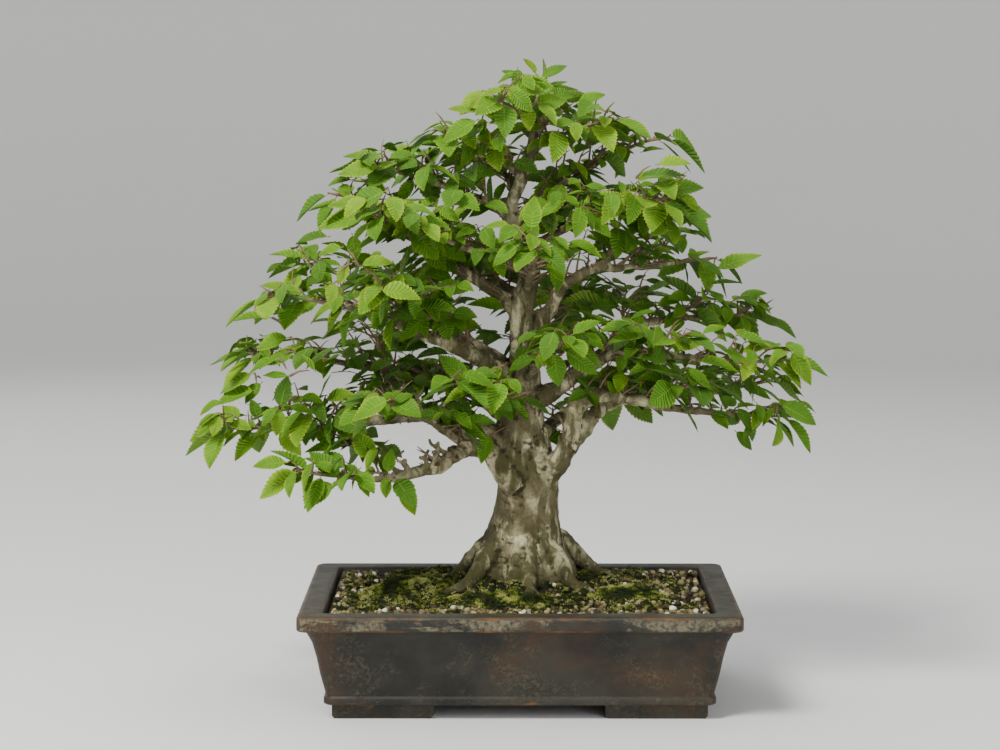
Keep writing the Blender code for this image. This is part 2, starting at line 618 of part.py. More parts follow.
def grow_leaves(thicket, spray, twigs):
    """The spray's leaves: one at the end of each twig and some along its axis."""
    name, length_of_spray = spray[0], spray[3]
    draw = random.Random(name + " leaves")
    side = draw.choice((-1, 1))
    places = [(k, 1.0, 0.0) for k in range(len(twigs))]
    for share in LEAF_SHARES:
        places.append((0, share, side * LEAF_TURN))
        side = -side
    wanted = max(FEWEST_LEAVES, round(length_of_spray / LEAF_SPACING))
    leaves = []
    for k, share, turn in places:
        place, way = along(twigs[k][0], share)
        length = draw.uniform(*BLADE_LENGTH) * (APEX_BLADE if name == "apex" else 1.0)
        first = turn + draw.uniform(-LEAF_SWING, LEAF_SWING)
        droop = draw.uniform(*LEAF_DROOP)
        roll = draw.uniform(-LEAF_ROLL, LEAF_ROLL)
        leaf = free_leaf(thicket, (name, k), place, way, first, droop, roll, length)
        if leaf is not None and len(leaves) < wanted:
            leaves.append(leaf)
            thicket.add_solid(*blade_solid(leaf, BLADE_THICK, 0.0), "blade")
    return leaves


def free_leaf(thicket, twig, place, way, turn, droop, roll, length):
    """The first of a few tries at a leaf that comes clear of wood and other blades, or None."""
    for smaller in LEAF_LENGTHS:
        for swing, dip, tip in LEAF_TRIES:
            heading, normal = leaf_frame(place, way, turn + swing, droop + dip, roll + tip)
            size = length * smaller
            leaf = (place, heading, normal, size, size * BLADE_WIDTH)
            rows = blade_rows(leaf)
            across = np.cross(normal, heading)
            outer = [m + across * w * k for m, w in rows[2:] for k in (-1, 0, 1)]
            if thicket.room([m for m, _ in rows[1:]], (twig,)) < TWIG_CLEAR:
                continue
            if thicket.room(outer) < TWIG_CLEAR:
                continue
            if not thicket.crosses(*blade_solid(leaf, CLEAR_THICK, CLEAR_SIDE), (twig,)):
                return leaf
    return None


def grow():
    """All stubs, and each spray with its twigs and leaves, none crossing another."""
    sprays, stubs = spray_starts()
    thicket = Thicket()
    trunk = np.array(TRUNK)
    thicket.add_line(trunk[:, :3], trunk[:, 3], "trunk")
    for limb in LIMBS:
        line = smooth_line(limb[1])[::2]
        shares = np.linspace(0, 1, len(line))
        thicket.add_line(line, [limb_radius(limb, s) for s in shares], limb[0])
    for spray, (line, radius) in zip([s for s in sprays if s[5] is None], stubs):
        thicket.add_line(line, [radius, radius], spray[0])
    twigs = {spray[0]: grow_twigs(thicket, spray) for spray in sprays}
    leaves = {spray[0]: grow_leaves(thicket, spray, twigs[spray[0]]) for spray in sprays}
    return stubs, twigs, leaves


def wall_ring(inset, height, corner, points_per_corner=3):
    """A rounded rectangle at that inset from the rim's edge."""
    half_x, half_y = POT_LENGTH / 2 - inset, POT_DEPTH / 2 - inset
    ring = []
    for quarter, (sx, sy) in enumerate(((1, 1), (-1, 1), (-1, -1), (1, -1))):
        for k in range(points_per_corner):
            angle = math.radians(90 * quarter + 90 * k / (points_per_corner - 1))
            ring.append((sx * (half_x - corner) + corner * math.cos(angle),
                         sy * (half_y - corner) + corner * math.sin(angle), height))
    return ring


def lofted(rings):
    """Points and faces of a closed solid through rings of equal size."""
    size = len(rings[0])
    points = [p for ring in rings for p in ring]
    faces = [tuple(reversed(range(size)))]
    for i in range(len(rings) - 1):
        for k in range(size):
            a, b = i * size + k, i * size + (k + 1) % size
            faces.append((a, b, b + size, a + size))
    faces.append(tuple(range((len(rings) - 1) * size, len(rings) * size)))
    return points, faces


def foot_solid(sx, sy):
    """An L-shaped corner foot, its ends cut at a slant."""
    half_x, half_y = POT_LENGTH / 2 - FOOT_INSET, POT_DEPTH / 2 - FOOT_INSET

    def outline(height, draft, slant):
        x0, y0 = half_x - draft, half_y - draft
        x1, y1 = half_x - FOOT_ALONG_FRONT + slant, half_y - FOOT_ALONG_SIDE + slant
        xi, yi = half_x - FOOT_THICK, half_y - FOOT_THICK
        cut = FOOT_CHAMFER
        corners = ((x1, y0), (x0 - cut, y0), (x0, y0 - cut), (x0, y1), (xi, y1), (xi, yi), (x1, yi))
        return [(sx * x, sy * y, height) for x, y in corners]

    low = outline(0.0, FOOT_DRAFT, FOOT_SLANT)
    high = outline(FOOT_HEIGHT + FOOT_SUNK, 0.0, 0.0)
    points, faces = lofted([low, high])
    if sx * sy > 0:
        faces = [tuple(reversed(f)) for f in faces]
    return mesh_object("foot", points, faces, "pot")


def make_pot():
    """The fired pot: flared walls, flat rim, corner feet and two drain holes."""
    outer = [wall_ring(inset, height, CORNER_RADIUS) for inset, height in OUTER_WALL]
    inner = [wall_ring(inset, height, INNER_CORNER_RADIUS) for inset, height in INNER_WALL]
    pot = mesh_object("pot", *lofted(outer + inner), "pot")
    feet = [foot_solid(sx, sy) for sx in (-1, 1) for sy in (-1, 1)]
    boolean(pot, feet, "UNION", "EXACT")
    drills = []
    for x in (-DRAIN_X, DRAIN_X):
        line = np.array([(x, 0.0, FOOT_HEIGHT - CUT_OVER), (x, 0.0, FLOOR_TOP + CUT_OVER)])
        drills.append(mesh_object("drill", *tube(line, np.full(2, DRAIN_RADIUS), DRAIN_SIDES), "pot"))
    boolean(pot, drills, "DIFFERENCE", "EXACT")
    return pot


def block(low, high, finish="soil", name="block"):
    """A plain box between two corners."""
    (x0, y0, z0), (x1, y1, z1) = low, high
    ring = ((x0, y0), (x1, y0), (x1, y1), (x0, y1))
    return mesh_object(name, *lofted([[(x, y, z) for x, y in ring] for z in (z0, z1)]), finish)


def make_drain_mesh(name, x):
    """A square of plastic mesh that lies over a drain hole, under the soil."""
    half, low = MESH_SIDE / 2, FLOOR_TOP + GAP
    plate = block((x - half, -half, low), (x + half, half, low + MESH_THICK), "drain_mesh", name)
    holes = []
    for i in range(MESH_HOLES):
        for j in range(MESH_HOLES):
            cx = x + (i - (MESH_HOLES - 1) / 2) * MESH_PITCH
            cy = (j - (MESH_HOLES - 1) / 2) * MESH_PITCH
            side = MESH_HOLE / 2
            holes.append(block((cx - side, cy - side, low - CUT_OVER),
                               (cx + side, cy + side, low + MESH_THICK + CUT_OVER), "drain_mesh"))
    return boolean(plate, holes, "DIFFERENCE", "EXACT")


def soil_level(x, y):
    """The soil's smooth height at a place."""
    dx, dy = (x - TRUNK_X) / MOUND_SPREAD[0], (y - TRUNK_Y) / MOUND_SPREAD[1]
    return SOIL_EDGE + MOUND_HEIGHT * math.exp(-(dx * dx + dy * dy) / 2)


def make_soil():
    """The soil that fills the pot, with coarse grit as relief towards its edges."""
    draw = random.Random("grit")
    half_x, half_y = POT_LENGTH / 2 - SOIL_INSET, POT_DEPTH / 2 - SOIL_INSET
    narrow_x = (POT_LENGTH / 2 - SOIL_FLOOR_INSET) / half_x
    narrow_y = (POT_DEPTH / 2 - SOIL_FLOOR_INSET) / half_y
    points, faces = [], []
    for j in range(SOIL_ROWS + 1):
        for i in range(SOIL_COLUMNS + 1):
            u, v = 2 * i / SOIL_COLUMNS - 1, 2 * j / SOIL_ROWS - 1
            corner = SOIL_CORNER if abs(u) == 1 and abs(v) == 1 else 0.0
            x, y = u * (half_x - corner), v * (half_y - corner)
            away = math.hypot((x - TRUNK_X) / GRIT_STRETCH, y - TRUNK_Y)
            rough = GRIT_RELIEF if away > GRIT_BEGINS and max(abs(u), abs(v)) < 1 else 0.0
            points.append((x, y, soil_level(x, y) + rough * draw.random() * ((i + j) % 2)))
    row = SOIL_COLUMNS + 1
    for j in range(SOIL_ROWS):
        for i in range(SOIL_COLUMNS):
            a, b, c, d = (j * row + i, j * row + i + 1, (j + 1) * row + i + 1, (j + 1) * row + i)
            faces += [(a, b, c), (a, c, d)] if (i + j) % 2 == 0 else [(a, b, d), (b, c, d)]
    border = list(range(row))
    border += [j * row + SOIL_COLUMNS for j in range(1, SOIL_ROWS + 1)]
    border += [SOIL_ROWS * row + i for i in reversed(range(SOIL_COLUMNS))]
    border += [j * row for j in reversed(range(1, SOIL_ROWS))]
    below = len(points)
    for k in border:
        x, y, _ = points[k]
        points.append((x * narrow_x, y * narrow_y, FLOOR_TOP + GAP))
    for k, a in enumerate(border):
        b = border[(k + 1) % len(border)]
        c, d = below + k, below + (k + 1) % len(border)
        faces += [(b, a, c), (b, c, d)]
    faces.append(tuple(reversed(range(below, below + len(border)))))
    soil = mesh_object("soil", points, faces, "soil")
    hole = np.array([(TRUNK_X, TRUNK_Y, TRUNK_HOLE_FLOOR), (TRUNK_X, TRUNK_Y, TRUNK_HOLE_TOP)])
    radii = np.full(2, TRUNK_HOLE_RADIUS)
    cutters = [mesh_object("hole", *tube(hole, radii, TRUNK_HOLE_SIDES), "soil")]
    half = MESH_SIDE / 2 + GAP
    for x in (-DRAIN_X, DRAIN_X):
        top = FLOOR_TOP + GAP + MESH_THICK + GAP
        cutters.append(block((x - half, -half, FLOOR_TOP - CUT_OVER), (x + half, half, top)))
    return boolean(soil, cutters, "DIFFERENCE", "EXACT")


def make_moss(entry, soil):
    """A lumpy cushion of moss whose underside follows the soil a little above it."""
    name, (cx, cy), half_length, half_width, heading, height = entry
    draw = random.Random(name)
    cos, sin = math.cos(math.radians(heading)), math.sin(math.radians(heading))
    rings = []
    for reach, lift, rise in MOSS_RINGS:
        ring = []
        for k in range(MOSS_SIDES):
            angle = 2 * math.pi * k / MOSS_SIDES
            wave = 1.0 + MOSS_WAVE * math.sin(3 * angle + 90 * cx)
            u = reach * wave * half_length * math.cos(angle)
            v = reach * wave * half_width * math.sin(angle)
            x, y = cx + u * cos - v * sin, cy + u * sin + v * cos
            lump = draw.uniform(-MOSS_LUMP, MOSS_LUMP) if rise else 0.0
            ring.append((x, y, soil_level(x, y) + lift + rise * height + lump))
        rings.append(ring)
    cushion = mesh_object(name, *lofted(rings), "moss")
    ground = soil.copy()
    ground.data = soil.data.copy()
    ground.location.z += MOSS_GAP
    bpy.context.scene.collection.objects.link(ground)
    bpy.context.view_layer.update()
    return boolean(cushion, [ground], "DIFFERENCE", "EXACT")


def trunk_solid():
    """The trunk's tube, drawn out over each surface root near the soil."""
    rings = []
    for x, y, z, radius in TRUNK:
        ring = []
        flare = FLARE_DEPTH * math.exp(-max(0.0, z - TRUNK[2][2]) / FLARE_FADE)
        if z <= TRUNK[1][2]:
            flare = 0.0
        for k in range(TRUNK_SIDES):
            angle = 2 * math.pi * k / TRUNK_SIDES
            near = max(math.cos(angle - math.radians(root[0])) for root in ROOTS)
            reach = radius * (1 + flare * (near ** FLARE_POWER - FLARE_HOLLOW))
            ring.append((x + reach * math.cos(angle), y + reach * math.sin(angle), z))
        rings.append(ring)
    return lofted(rings)


def root_solid(heading, length, radius):
    """A surface root that leaves the trunk and runs out over the soil."""
    angle = math.radians(heading)
    line, radii = [], []
    for share, height, part_of_radius in ROOT_RINGS:
        x = TRUNK_X + length * share * math.cos(angle)
        y = TRUNK_Y + length * share * math.sin(angle)
        size = radius * part_of_radius
        line.append((x, y, soil_level(x, y) + height + size + ROOT_LIFT))
        radii.append(size)
    return tube(np.array(line), radii, ROOT_SIDES)


def limb_solid(limb):
    """A limb's tube, with more sides where it is thick."""
    return tube(*limb_rings(limb), 5 if limb[2] > THICK_LIMB else 4)


def make_wood(stubs):
    """Trunk, roots, limbs, stubs and the old scar, grown together as one piece."""
    wood = mesh_object("trunk_and_limbs", *trunk_solid(), "bark")
    others = [mesh_object("root", *root_solid(*root), "bark") for root in ROOTS]
    others += [mesh_object("limb", *limb_solid(limb), "bark") for limb in LIMBS]
    others += [mesh_object("stub", *tube(line, (r, r), TWIG_SIDES), "bark") for line, r in stubs]
    x, y, z = SCAR_PLACE
    scar = np.array([(x, y + ahead, z + above) for ahead, above, _ in SCAR_RINGS])
    radii = [radius for _, _, radius in SCAR_RINGS]
    others.append(mesh_object("scar", *tube(scar, radii, SCAR_SIDES), "bark"))
    return boolean(wood, others, "UNION", "MANIFOLD")


def make_spray(name, twigs, leaves):
    """One leafy spray: its twigs and its blades, joined where the petioles leave the twigs."""
    pieces = [mesh_object("twig", *tube(*twig), "bark") for twig in twigs]
    pieces += [mesh_object("leaf", *blade_solid(leaf, BLADE_THICK, 0.0), "leaf") for leaf in leaves]
    pieces[0].name = "spray_" + name
    return boolean(pieces[0], pieces[1:], "UNION", "MANIFOLD")


def main():
    """Builds the whole bonsai and moves it over the origin."""
    clear_scene()
    stubs, twigs, leaves = grow()
    make_pot()
    make_drain_mesh("drain_mesh_left", -DRAIN_X)
    make_drain_mesh("drain_mesh_right", DRAIN_X)
    soil = make_soil()
    for entry in MOSS:
        make_moss(entry, soil)
    make_wood(stubs)
    for name in twigs:
        make_spray(name, twigs[name], leaves[name])
    for obj in bpy.context.scene.objects:
        obj.location = POT_PLACE
        shade(obj)


main()
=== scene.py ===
"""The finished surfaces of the hornbeam bonsai: bark, leaves, moss, grit and the fired pot.

Metres, +Z up, the pot's front towards -Y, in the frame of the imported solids.
"""

import logging
import math
from dataclasses import dataclass
from enum import Enum
from random import Random
from typing import Callable, Iterable, NamedTuple, Optional, Sequence

import bpy
import numpy as np
from bpy.types import Material, Node, NodeSocket, Object
from mathutils import Euler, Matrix, Vector, kdtree, noise
from mathutils.bvhtree import BVHTree


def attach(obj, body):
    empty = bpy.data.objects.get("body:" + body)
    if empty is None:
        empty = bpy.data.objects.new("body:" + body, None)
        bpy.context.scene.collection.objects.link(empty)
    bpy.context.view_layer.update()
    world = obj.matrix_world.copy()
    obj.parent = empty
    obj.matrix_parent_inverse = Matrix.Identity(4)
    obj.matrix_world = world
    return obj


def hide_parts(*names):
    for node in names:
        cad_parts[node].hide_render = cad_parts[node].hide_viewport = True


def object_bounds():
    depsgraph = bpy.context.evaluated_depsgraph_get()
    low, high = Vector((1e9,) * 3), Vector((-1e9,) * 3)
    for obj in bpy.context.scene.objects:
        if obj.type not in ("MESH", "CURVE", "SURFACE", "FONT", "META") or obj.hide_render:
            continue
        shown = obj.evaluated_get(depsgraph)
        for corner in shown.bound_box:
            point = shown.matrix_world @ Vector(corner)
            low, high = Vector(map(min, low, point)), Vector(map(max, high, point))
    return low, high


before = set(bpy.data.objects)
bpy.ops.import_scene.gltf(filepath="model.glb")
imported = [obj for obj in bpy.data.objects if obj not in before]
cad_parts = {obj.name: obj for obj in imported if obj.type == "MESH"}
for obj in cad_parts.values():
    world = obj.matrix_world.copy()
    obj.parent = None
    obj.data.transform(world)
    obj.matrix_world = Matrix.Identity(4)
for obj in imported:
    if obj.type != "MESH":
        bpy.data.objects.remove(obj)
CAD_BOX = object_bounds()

LOG = logging.getLogger("bonsai")
BODY = "root"
UP = np.array([0.0, 0.0, 1.0])

# Every place below is given from the middle of the pot, which stands this far off the origin
POT_PLACE = (0.0165, -0.0435, 0.0)
CROWN_BOX = tuple(np.array(corner) - np.array(POT_PLACE) for corner in CAD_BOX)


class Slot(Enum):
    """The finishes that a piece can have."""

    POT = "pot"
    SOIL = "soil"
    MOSS = "moss"
    BARK = "bark"
    LEAF = "leaf"


class Limb(NamedTuple):
    """A limb: route, first and last radius, tip spray's length, side sprays."""

    name: str
    route: tuple
    first: float
    last: float
    tip: float
    sides: tuple


class Spray(NamedTuple):
    """Where a leafy spray starts, which way it heads, and how long and thick it is."""

    name: str
    start: np.ndarray
    heading: np.ndarray
    length: float
    radius: float
    limb: Optional[str]


class Leaf(NamedTuple):
    """A blade: foot of its stalk, heading, upper side, length and width."""

    start: np.ndarray
    heading: np.ndarray
    normal: np.ndarray
    length: float
    width: float


class Twig(NamedTuple):
    """A twig: its line and the radius at each point."""

    line: np.ndarray
    radii: np.ndarray


# The trunk's line with its radius at each point, from the soil to the apex
TRUNK = (
    (0.003, 0.022, 0.0855, 0.0440), (0.003, 0.022, 0.1000, 0.0455), (0.003, 0.022, 0.1080, 0.0440),
    (0.003, 0.021, 0.1200, 0.0390), (0.003, 0.020, 0.1380, 0.0335), (0.006, 0.019, 0.1600, 0.0285),
    (0.008, 0.018, 0.1900, 0.0262), (0.005, 0.017, 0.2140, 0.0248), (0.001, 0.015, 0.2480, 0.0208),
    (0.004, 0.012, 0.2850, 0.0150), (0.003, 0.010, 0.3120, 0.0120), (0.002, 0.008, 0.3430, 0.0104),
    (0.010, 0.010, 0.3820, 0.0095), (0.005, 0.014, 0.4010, 0.0082), (-0.007, 0.016, 0.4210, 0.0076),
    (-0.008, 0.014, 0.4350, 0.0070), (0.006, 0.010, 0.4690, 0.0055), (0.011, 0.011, 0.4900, 0.0045),
    (0.013, 0.012, 0.5160, 0.0026),
)

# Surface roots: heading in degrees from +X, length, and radius where it leaves the trunk
ROOTS = (
    (22.0, 0.092, 0.0085), (-38.0, 0.072, 0.0095), (-84.0, 0.066, 0.0100), (-142.0, 0.082, 0.0095),
    (178.0, 0.078, 0.0080), (128.0, 0.076, 0.0080), (76.0, 0.066, 0.0085),
)
# A root's rings as (share of its length, height over the soil, share of its radius)
ROOT_RINGS = ((0.28, 0.034, 1.0), (0.55, 0.016, 0.95), (0.78, 0.0, 0.66), (1.0, 0.0, 0.34))
# The ring past them, where the root has gone under
ROOT_END = (1.22, -0.0065, 0.24)

# Millimetres in a metre, for the tables in whole millimetres
MILLIMETRES = 1000


def route(*points: tuple) -> tuple:
    """A limb's route in metres, from points in millimetres."""
    return tuple(tuple(part / MILLIMETRES for part in point) for point in points)


# Limbs, with side sprays as (share of the limb's length, turn and rise in degrees, length)
LIMBS = (
    Limb("right_low", route((18, 14, 192), (36, 4, 211), (44, -4, 229), (47, -8, 247), (52, -12, 261),
         (67, -16, 269), (88, -18, 268), (110, -16, 264), (135, -12, 258), (158, -10, 255),
         (174, -12, 254)), 0.0118, 0.0026, 0.092, ((0.72, -58, 28, 0.078),)),
    Limb("right_low_back", route((42, -2, 223), (57, 6, 238), (70, 20, 252), (91, 38, 259), (119, 56, 260),
         (151, 72, 260), (176, 82, 262)), 0.0085, 0.0024, 0.09, ((0.62, 58, 34, 0.078),)),
    Limb("right_mid", route((9, 12, 258), (30, 6, 272), (45, 4, 284), (59, 8, 295), (72, 14, 303),
         (85, 22, 313), (101, 32, 325), (122, 40, 331), (145, 46, 333), (164, 50, 333)), 0.0092, 0.0024,
         0.08, ((0.6, 62, 30, 0.074), (0.82, -50, 22, 0.066))),
    Limb("right_mid_front", route((52, 5, 289), (76, -8, 303), (99, -22, 308), (124, -36, 308),
         (151, -46, 306), (177, -52, 304), (190, -56, 304)), 0.0062, 0.0022, 0.058,
         ((0.52, -58, 26, 0.074),)),
    Limb("right_high", route((6, 10, 307), (18, 8, 330), (29, 4, 350), (38, 0, 366), (51, -6, 374),
         (65, -12, 382), (76, -16, 391), (84, -20, 402), (97, -24, 412)), 0.009, 0.0023, 0.076, ()),
    Limb("right_high_out", route((69, -13, 384), (90, -2, 382), (110, 10, 382), (126, 18, 383),
         (138, 24, 384)), 0.0046, 0.0021, 0.064, ((0.55, 62, 24, 0.066),)),
    Limb("right_upper", route((-4, 16, 421), (11, 22, 435), (23, 28, 443), (36, 32, 452), (50, 34, 460),
         (63, 34, 468), (75, 32, 476), (89, 30, 482)), 0.0055, 0.0021, 0.07, ((0.66, -58, 38, 0.058),)),
    Limb("right_top", route((10, 10, 483), (22, 4, 491), (37, -2, 498), (50, -6, 503)), 0.0036, 0.0018,
         0.052, ()),
    Limb("right_upper_front", route((7, 12, 398), (27, -10, 410), (48, -34, 420), (69, -54, 429),
         (87, -64, 436)), 0.005, 0.0021, 0.072, ()),
    Limb("left_low", route((-7, 16, 202), (-26, 4, 217), (-42, -6, 222), (-57, -16, 216), (-70, -26, 208),
         (-87, -36, 204), (-108, -46, 202), (-132, -54, 201), (-152, -60, 204)), 0.0102, 0.0024, 0.06,
         ((0.68, -54, 20, 0.07),)),
    Limb("left_low_front", route((-40, -5, 222), (-54, -16, 231), (-67, -26, 240), (-79, -38, 250),
         (-92, -50, 258)), 0.0062, 0.0022, 0.074, ()),
    Limb("left_mid", route((-7, 14, 221), (-30, 10, 234), (-51, 8, 241), (-74, 8, 248), (-103, 12, 247),
         (-134, 16, 243), (-164, 20, 238), (-193, 22, 236), (-216, 24, 236)), 0.0104, 0.0024, 0.072,
         ((0.5, -58, 30, 0.074), (0.68, 52, 16, 0.074))),
    Limb("left_upper", route((-3, 11, 275), (-21, 4, 292), (-38, -2, 302), (-57, -8, 313), (-79, -14, 321),
         (-101, -22, 331), (-124, -28, 341), (-148, -32, 348), (-166, -34, 352)), 0.0098, 0.0024, 0.084,
         ((0.58, 54, 26, 0.074), (0.8, -50, 18, 0.066))),
    Limb("left_back", route((-3, 16, 260), (-25, 30, 268), (-48, 44, 271), (-76, 56, 276), (-107, 66, 280),
         (-140, 74, 286), (-171, 80, 291), (-201, 84, 293)), 0.0092, 0.0024, 0.084,
         ((0.62, -56, 36, 0.078),)),
    Limb("left_twin", route((-1, 14, 277), (-17, 16, 296), (-32, 18, 306), (-50, 22, 315), (-71, 30, 328),
         (-95, 40, 341), (-119, 50, 353), (-144, 58, 364), (-160, 62, 370)), 0.008, 0.0023, 0.076,
         ((0.68, -58, 30, 0.07),)),
    Limb("left_high", route((1, 9, 336), (-12, 10, 352), (-30, 8, 365), (-49, 4, 377), (-69, 0, 388),
         (-84, -4, 400), (-102, -8, 412), (-119, -10, 425), (-132, -12, 434)), 0.0066, 0.0022, 0.058,
         ((0.62, 54, 24, 0.068),)),
    Limb("left_high_front", route((7, 8, 377), (-13, -16, 387), (-33, -36, 396), (-53, -54, 405),
         (-73, -68, 414), (-88, -76, 420)), 0.0054, 0.0021, 0.068, ()),
    Limb("left_crown", route((-8, 15, 426), (-23, 10, 435), (-40, 6, 442), (-60, 2, 450), (-79, -2, 458),
         (-98, -6, 463)), 0.005, 0.002, 0.046, ((0.62, -54, 32, 0.058),)),
    Limb("left_top", route((2, 12, 461), (-10, 4, 472), (-26, -6, 483), (-42, -14, 491)), 0.0042, 0.0019,
         0.056, ()),
    Limb("top_front", route((13, 12, 500), (6, -4, 512), (-2, -16, 519)), 0.003, 0.0018, 0.044, ()),
    Limb("front_low", route((1, 8, 247), (-17, -30, 264), (-34, -62, 278), (-42, -76, 284)), 0.0042, 0.002,
         0.056, ()),
    Limb("front_right", route((6, 6, 283), (18, -26, 298), (28, -56, 312), (32, -72, 318)), 0.0042, 0.002,
         0.056, ()),
    Limb("front_mid", route((6, 6, 359), (9, -26, 374), (12, -54, 388), (14, -70, 396)), 0.0042, 0.002,
         0.06, ()),
    Limb("front_left", route((-61, -9, 315), (-70, -34, 338), (-83, -58, 355), (-92, -74, 364)), 0.0044,
         0.002, 0.064, ()),
    Limb("back_low_right", route((8, 24, 221), (23, 60, 230), (39, 92, 238), (57, 124, 243),
         (74, 148, 245)), 0.0092, 0.0024, 0.078, ((0.68, -56, 28, 0.074),)),
    Limb("back_low_left", route((-1, 24, 234), (-18, 60, 244), (-34, 92, 252), (-53, 124, 258),
         (-70, 146, 260)), 0.0088, 0.0024, 0.078, ((0.66, 56, 20, 0.074),)),
    Limb("back_mid", route((3, 14, 296), (10, 46, 309), (18, 76, 322), (26, 106, 332), (33, 130, 338)),
         0.0074, 0.0023, 0.076, ((0.6, -52, 34, 0.07),)),
    Limb("back_mid_left", route((1, 12, 348), (-12, 40, 360), (-27, 66, 371), (-43, 90, 380)), 0.0058,
         0.0022, 0.072, ((0.6, 54, 26, 0.062),)),
    Limb("back_high_right", route((3, 18, 403), (18, 44, 415), (34, 68, 425), (46, 86, 431)), 0.005, 0.0021,
         0.068, ()),
    Limb("back_upper", route((-4, 16, 444), (-9, 36, 458), (-18, 56, 470)), 0.0042, 0.002, 0.058, ()),
    Limb("back_top", route((11, 13, 492), (18, 28, 502), (24, 40, 508)), 0.0032, 0.0018, 0.046, ()),
)
APEX_SPRAY_LENGTH = 0.026
LIMB_RING_STEP = 0.037
LIMB_TAPER = 0.8
CURVE_STEPS = 8
GAP = 0.0003

# A side spray stands on a stub, no thicker than this and than this share of its limb
STUB_LENGTH = 0.0065
STUB_RADIUS = 0.0021
STUB_SHARE = 0.62

# Twigs: each spray has an axis, and a long spray two forks off it
AXIS_SHARE = 0.60
AXIS_STEPS = 2
AXIS_BEND = 22
TIP_SLOPE = (-0.05, 0.30)
SIDE_SLOPE = (0.15, 0.80)
APEX_SLOPE = 1.4
TWIG_END_RADIUS = 0.0014
TWIG_CLEAR = 0.0012
FORKED_LENGTH = 0.066
FORK_SHARES = (0.42, 0.68)
FORK_TURN = (42, 58)
FORK_REACH = (0.24, 0.32)
FORK_RADIUS = 0.0012
FORK_SLOPE = 0.2
# What a twig tries in turn: shares of its length, and (swing in degrees, lift)
TWIG_LENGTHS = (1.0, 0.8, 0.6, 0.4)
TWIG_TRIES = ((0, 0), (18, 0), (-18, 0), (0, 0.3), (0, -0.3), (36, 0.2), (-36, 0.2))

# Leaves: outline as (share of the length, share of the full width on each side)
BLADE_OUTLINE = ((0.21, 0.40), (0.45, 0.50), (0.51, 0.39), (0.76, 0.29))
BLADE_LENGTH = (0.035, 0.048)
APEX_BLADE = 0.68
BLADE_WIDTH = 0.56
BLADE_THICK = 0.0008
BLADE_ARCH = 0.16
STALK_WIDTH = 0.0010
LEAF_SPACING = 0.0168
FEWEST_LEAVES = 3
LEAF_SHARES = (0.80, 0.50, 0.66, 0.30, 0.90, 0.40, 0.58)
LEAF_TURN = 55
LEAF_SWING = 12
LEAF_DROOP = (10, 50)
LEAF_ROLL = 25
CLEAR_THICK = 0.0030
CLEAR_SIDE = 0.0010
CROWN_MIDDLE = (0.0, 0.012, 0.250)
OUTWARD_LEAN = 1.05
TWIG_PULL = 0.8
# What a leaf tries in turn: shares of its length, and (swing, droop, roll) in degrees
LEAF_LENGTHS = (1.0, 0.84)
LEAF_TRIES = (
    (0, 0, 0), (0, 18, 0), (0, -18, 0), (20, 0, 15), (-20, 0, -15), (35, 20, 0), (-35, 20, 0),
    (25, -30, 25), (-25, -30, -25),
)


def unit(vector: np.ndarray) -> np.ndarray:
    """The vector at length one."""
    return vector / np.linalg.norm(vector)


def turned(vector: np.ndarray, axis: np.ndarray, degrees: float) -> np.ndarray:
    """The vector turned about an axis of length one, by the right-hand rule.

    Args:
        vector: what is turned.
        axis: the axis.
        degrees: how far.

    Returns:
        The turned vector.
    """
    angle = math.radians(degrees)
    return (vector * math.cos(angle) + np.cross(axis, vector) * math.sin(angle)
            + axis * (axis @ vector) * (1 - math.cos(angle)))


def smooth_line(points: Sequence) -> np.ndarray:
    """A close polyline on a Catmull-Rom curve through the points.

    Args:
        points: what the curve goes through, with any further columns.

    Returns:
        The polyline's rows.
    """
    given = np.array(points, float)
    ends = np.vstack([2 * given[0] - given[1], given, 2 * given[-1] - given[-2]])
    line = [given[0]]
    for i in range(len(given) - 1):
        a, b, c, d = ends[i:i + 4]
        for step in range(1, CURVE_STEPS + 1):
            t = step / CURVE_STEPS
            line.append(0.5 * (2 * b + (c - a) * t + (2 * a - 5 * b + 4 * c - d) * t ** 2
                               + (3 * b - a - 3 * c + d) * t ** 3))
    return np.array(line)


def along(line: np.ndarray, share: float) -> tuple[np.ndarray, np.ndarray]:
    """Point and heading at a share of the line's length.

    Args:
        line: the line's points.
        share: from 0 at its start to 1 at its end.

    Returns:
        The point and the heading.
    """
    steps = np.linalg.norm(np.diff(line, axis=0), axis=1)
    reach = np.concatenate([[0.0], np.cumsum(steps)])
    want = share * reach[-1]
    i = int(np.clip(np.searchsorted(reach, want, side="right") - 1, 0, len(steps) - 1))
    point = line[i] + (line[i + 1] - line[i]) * (want - reach[i]) / steps[i]
    return point, unit(line[i + 1] - line[i])


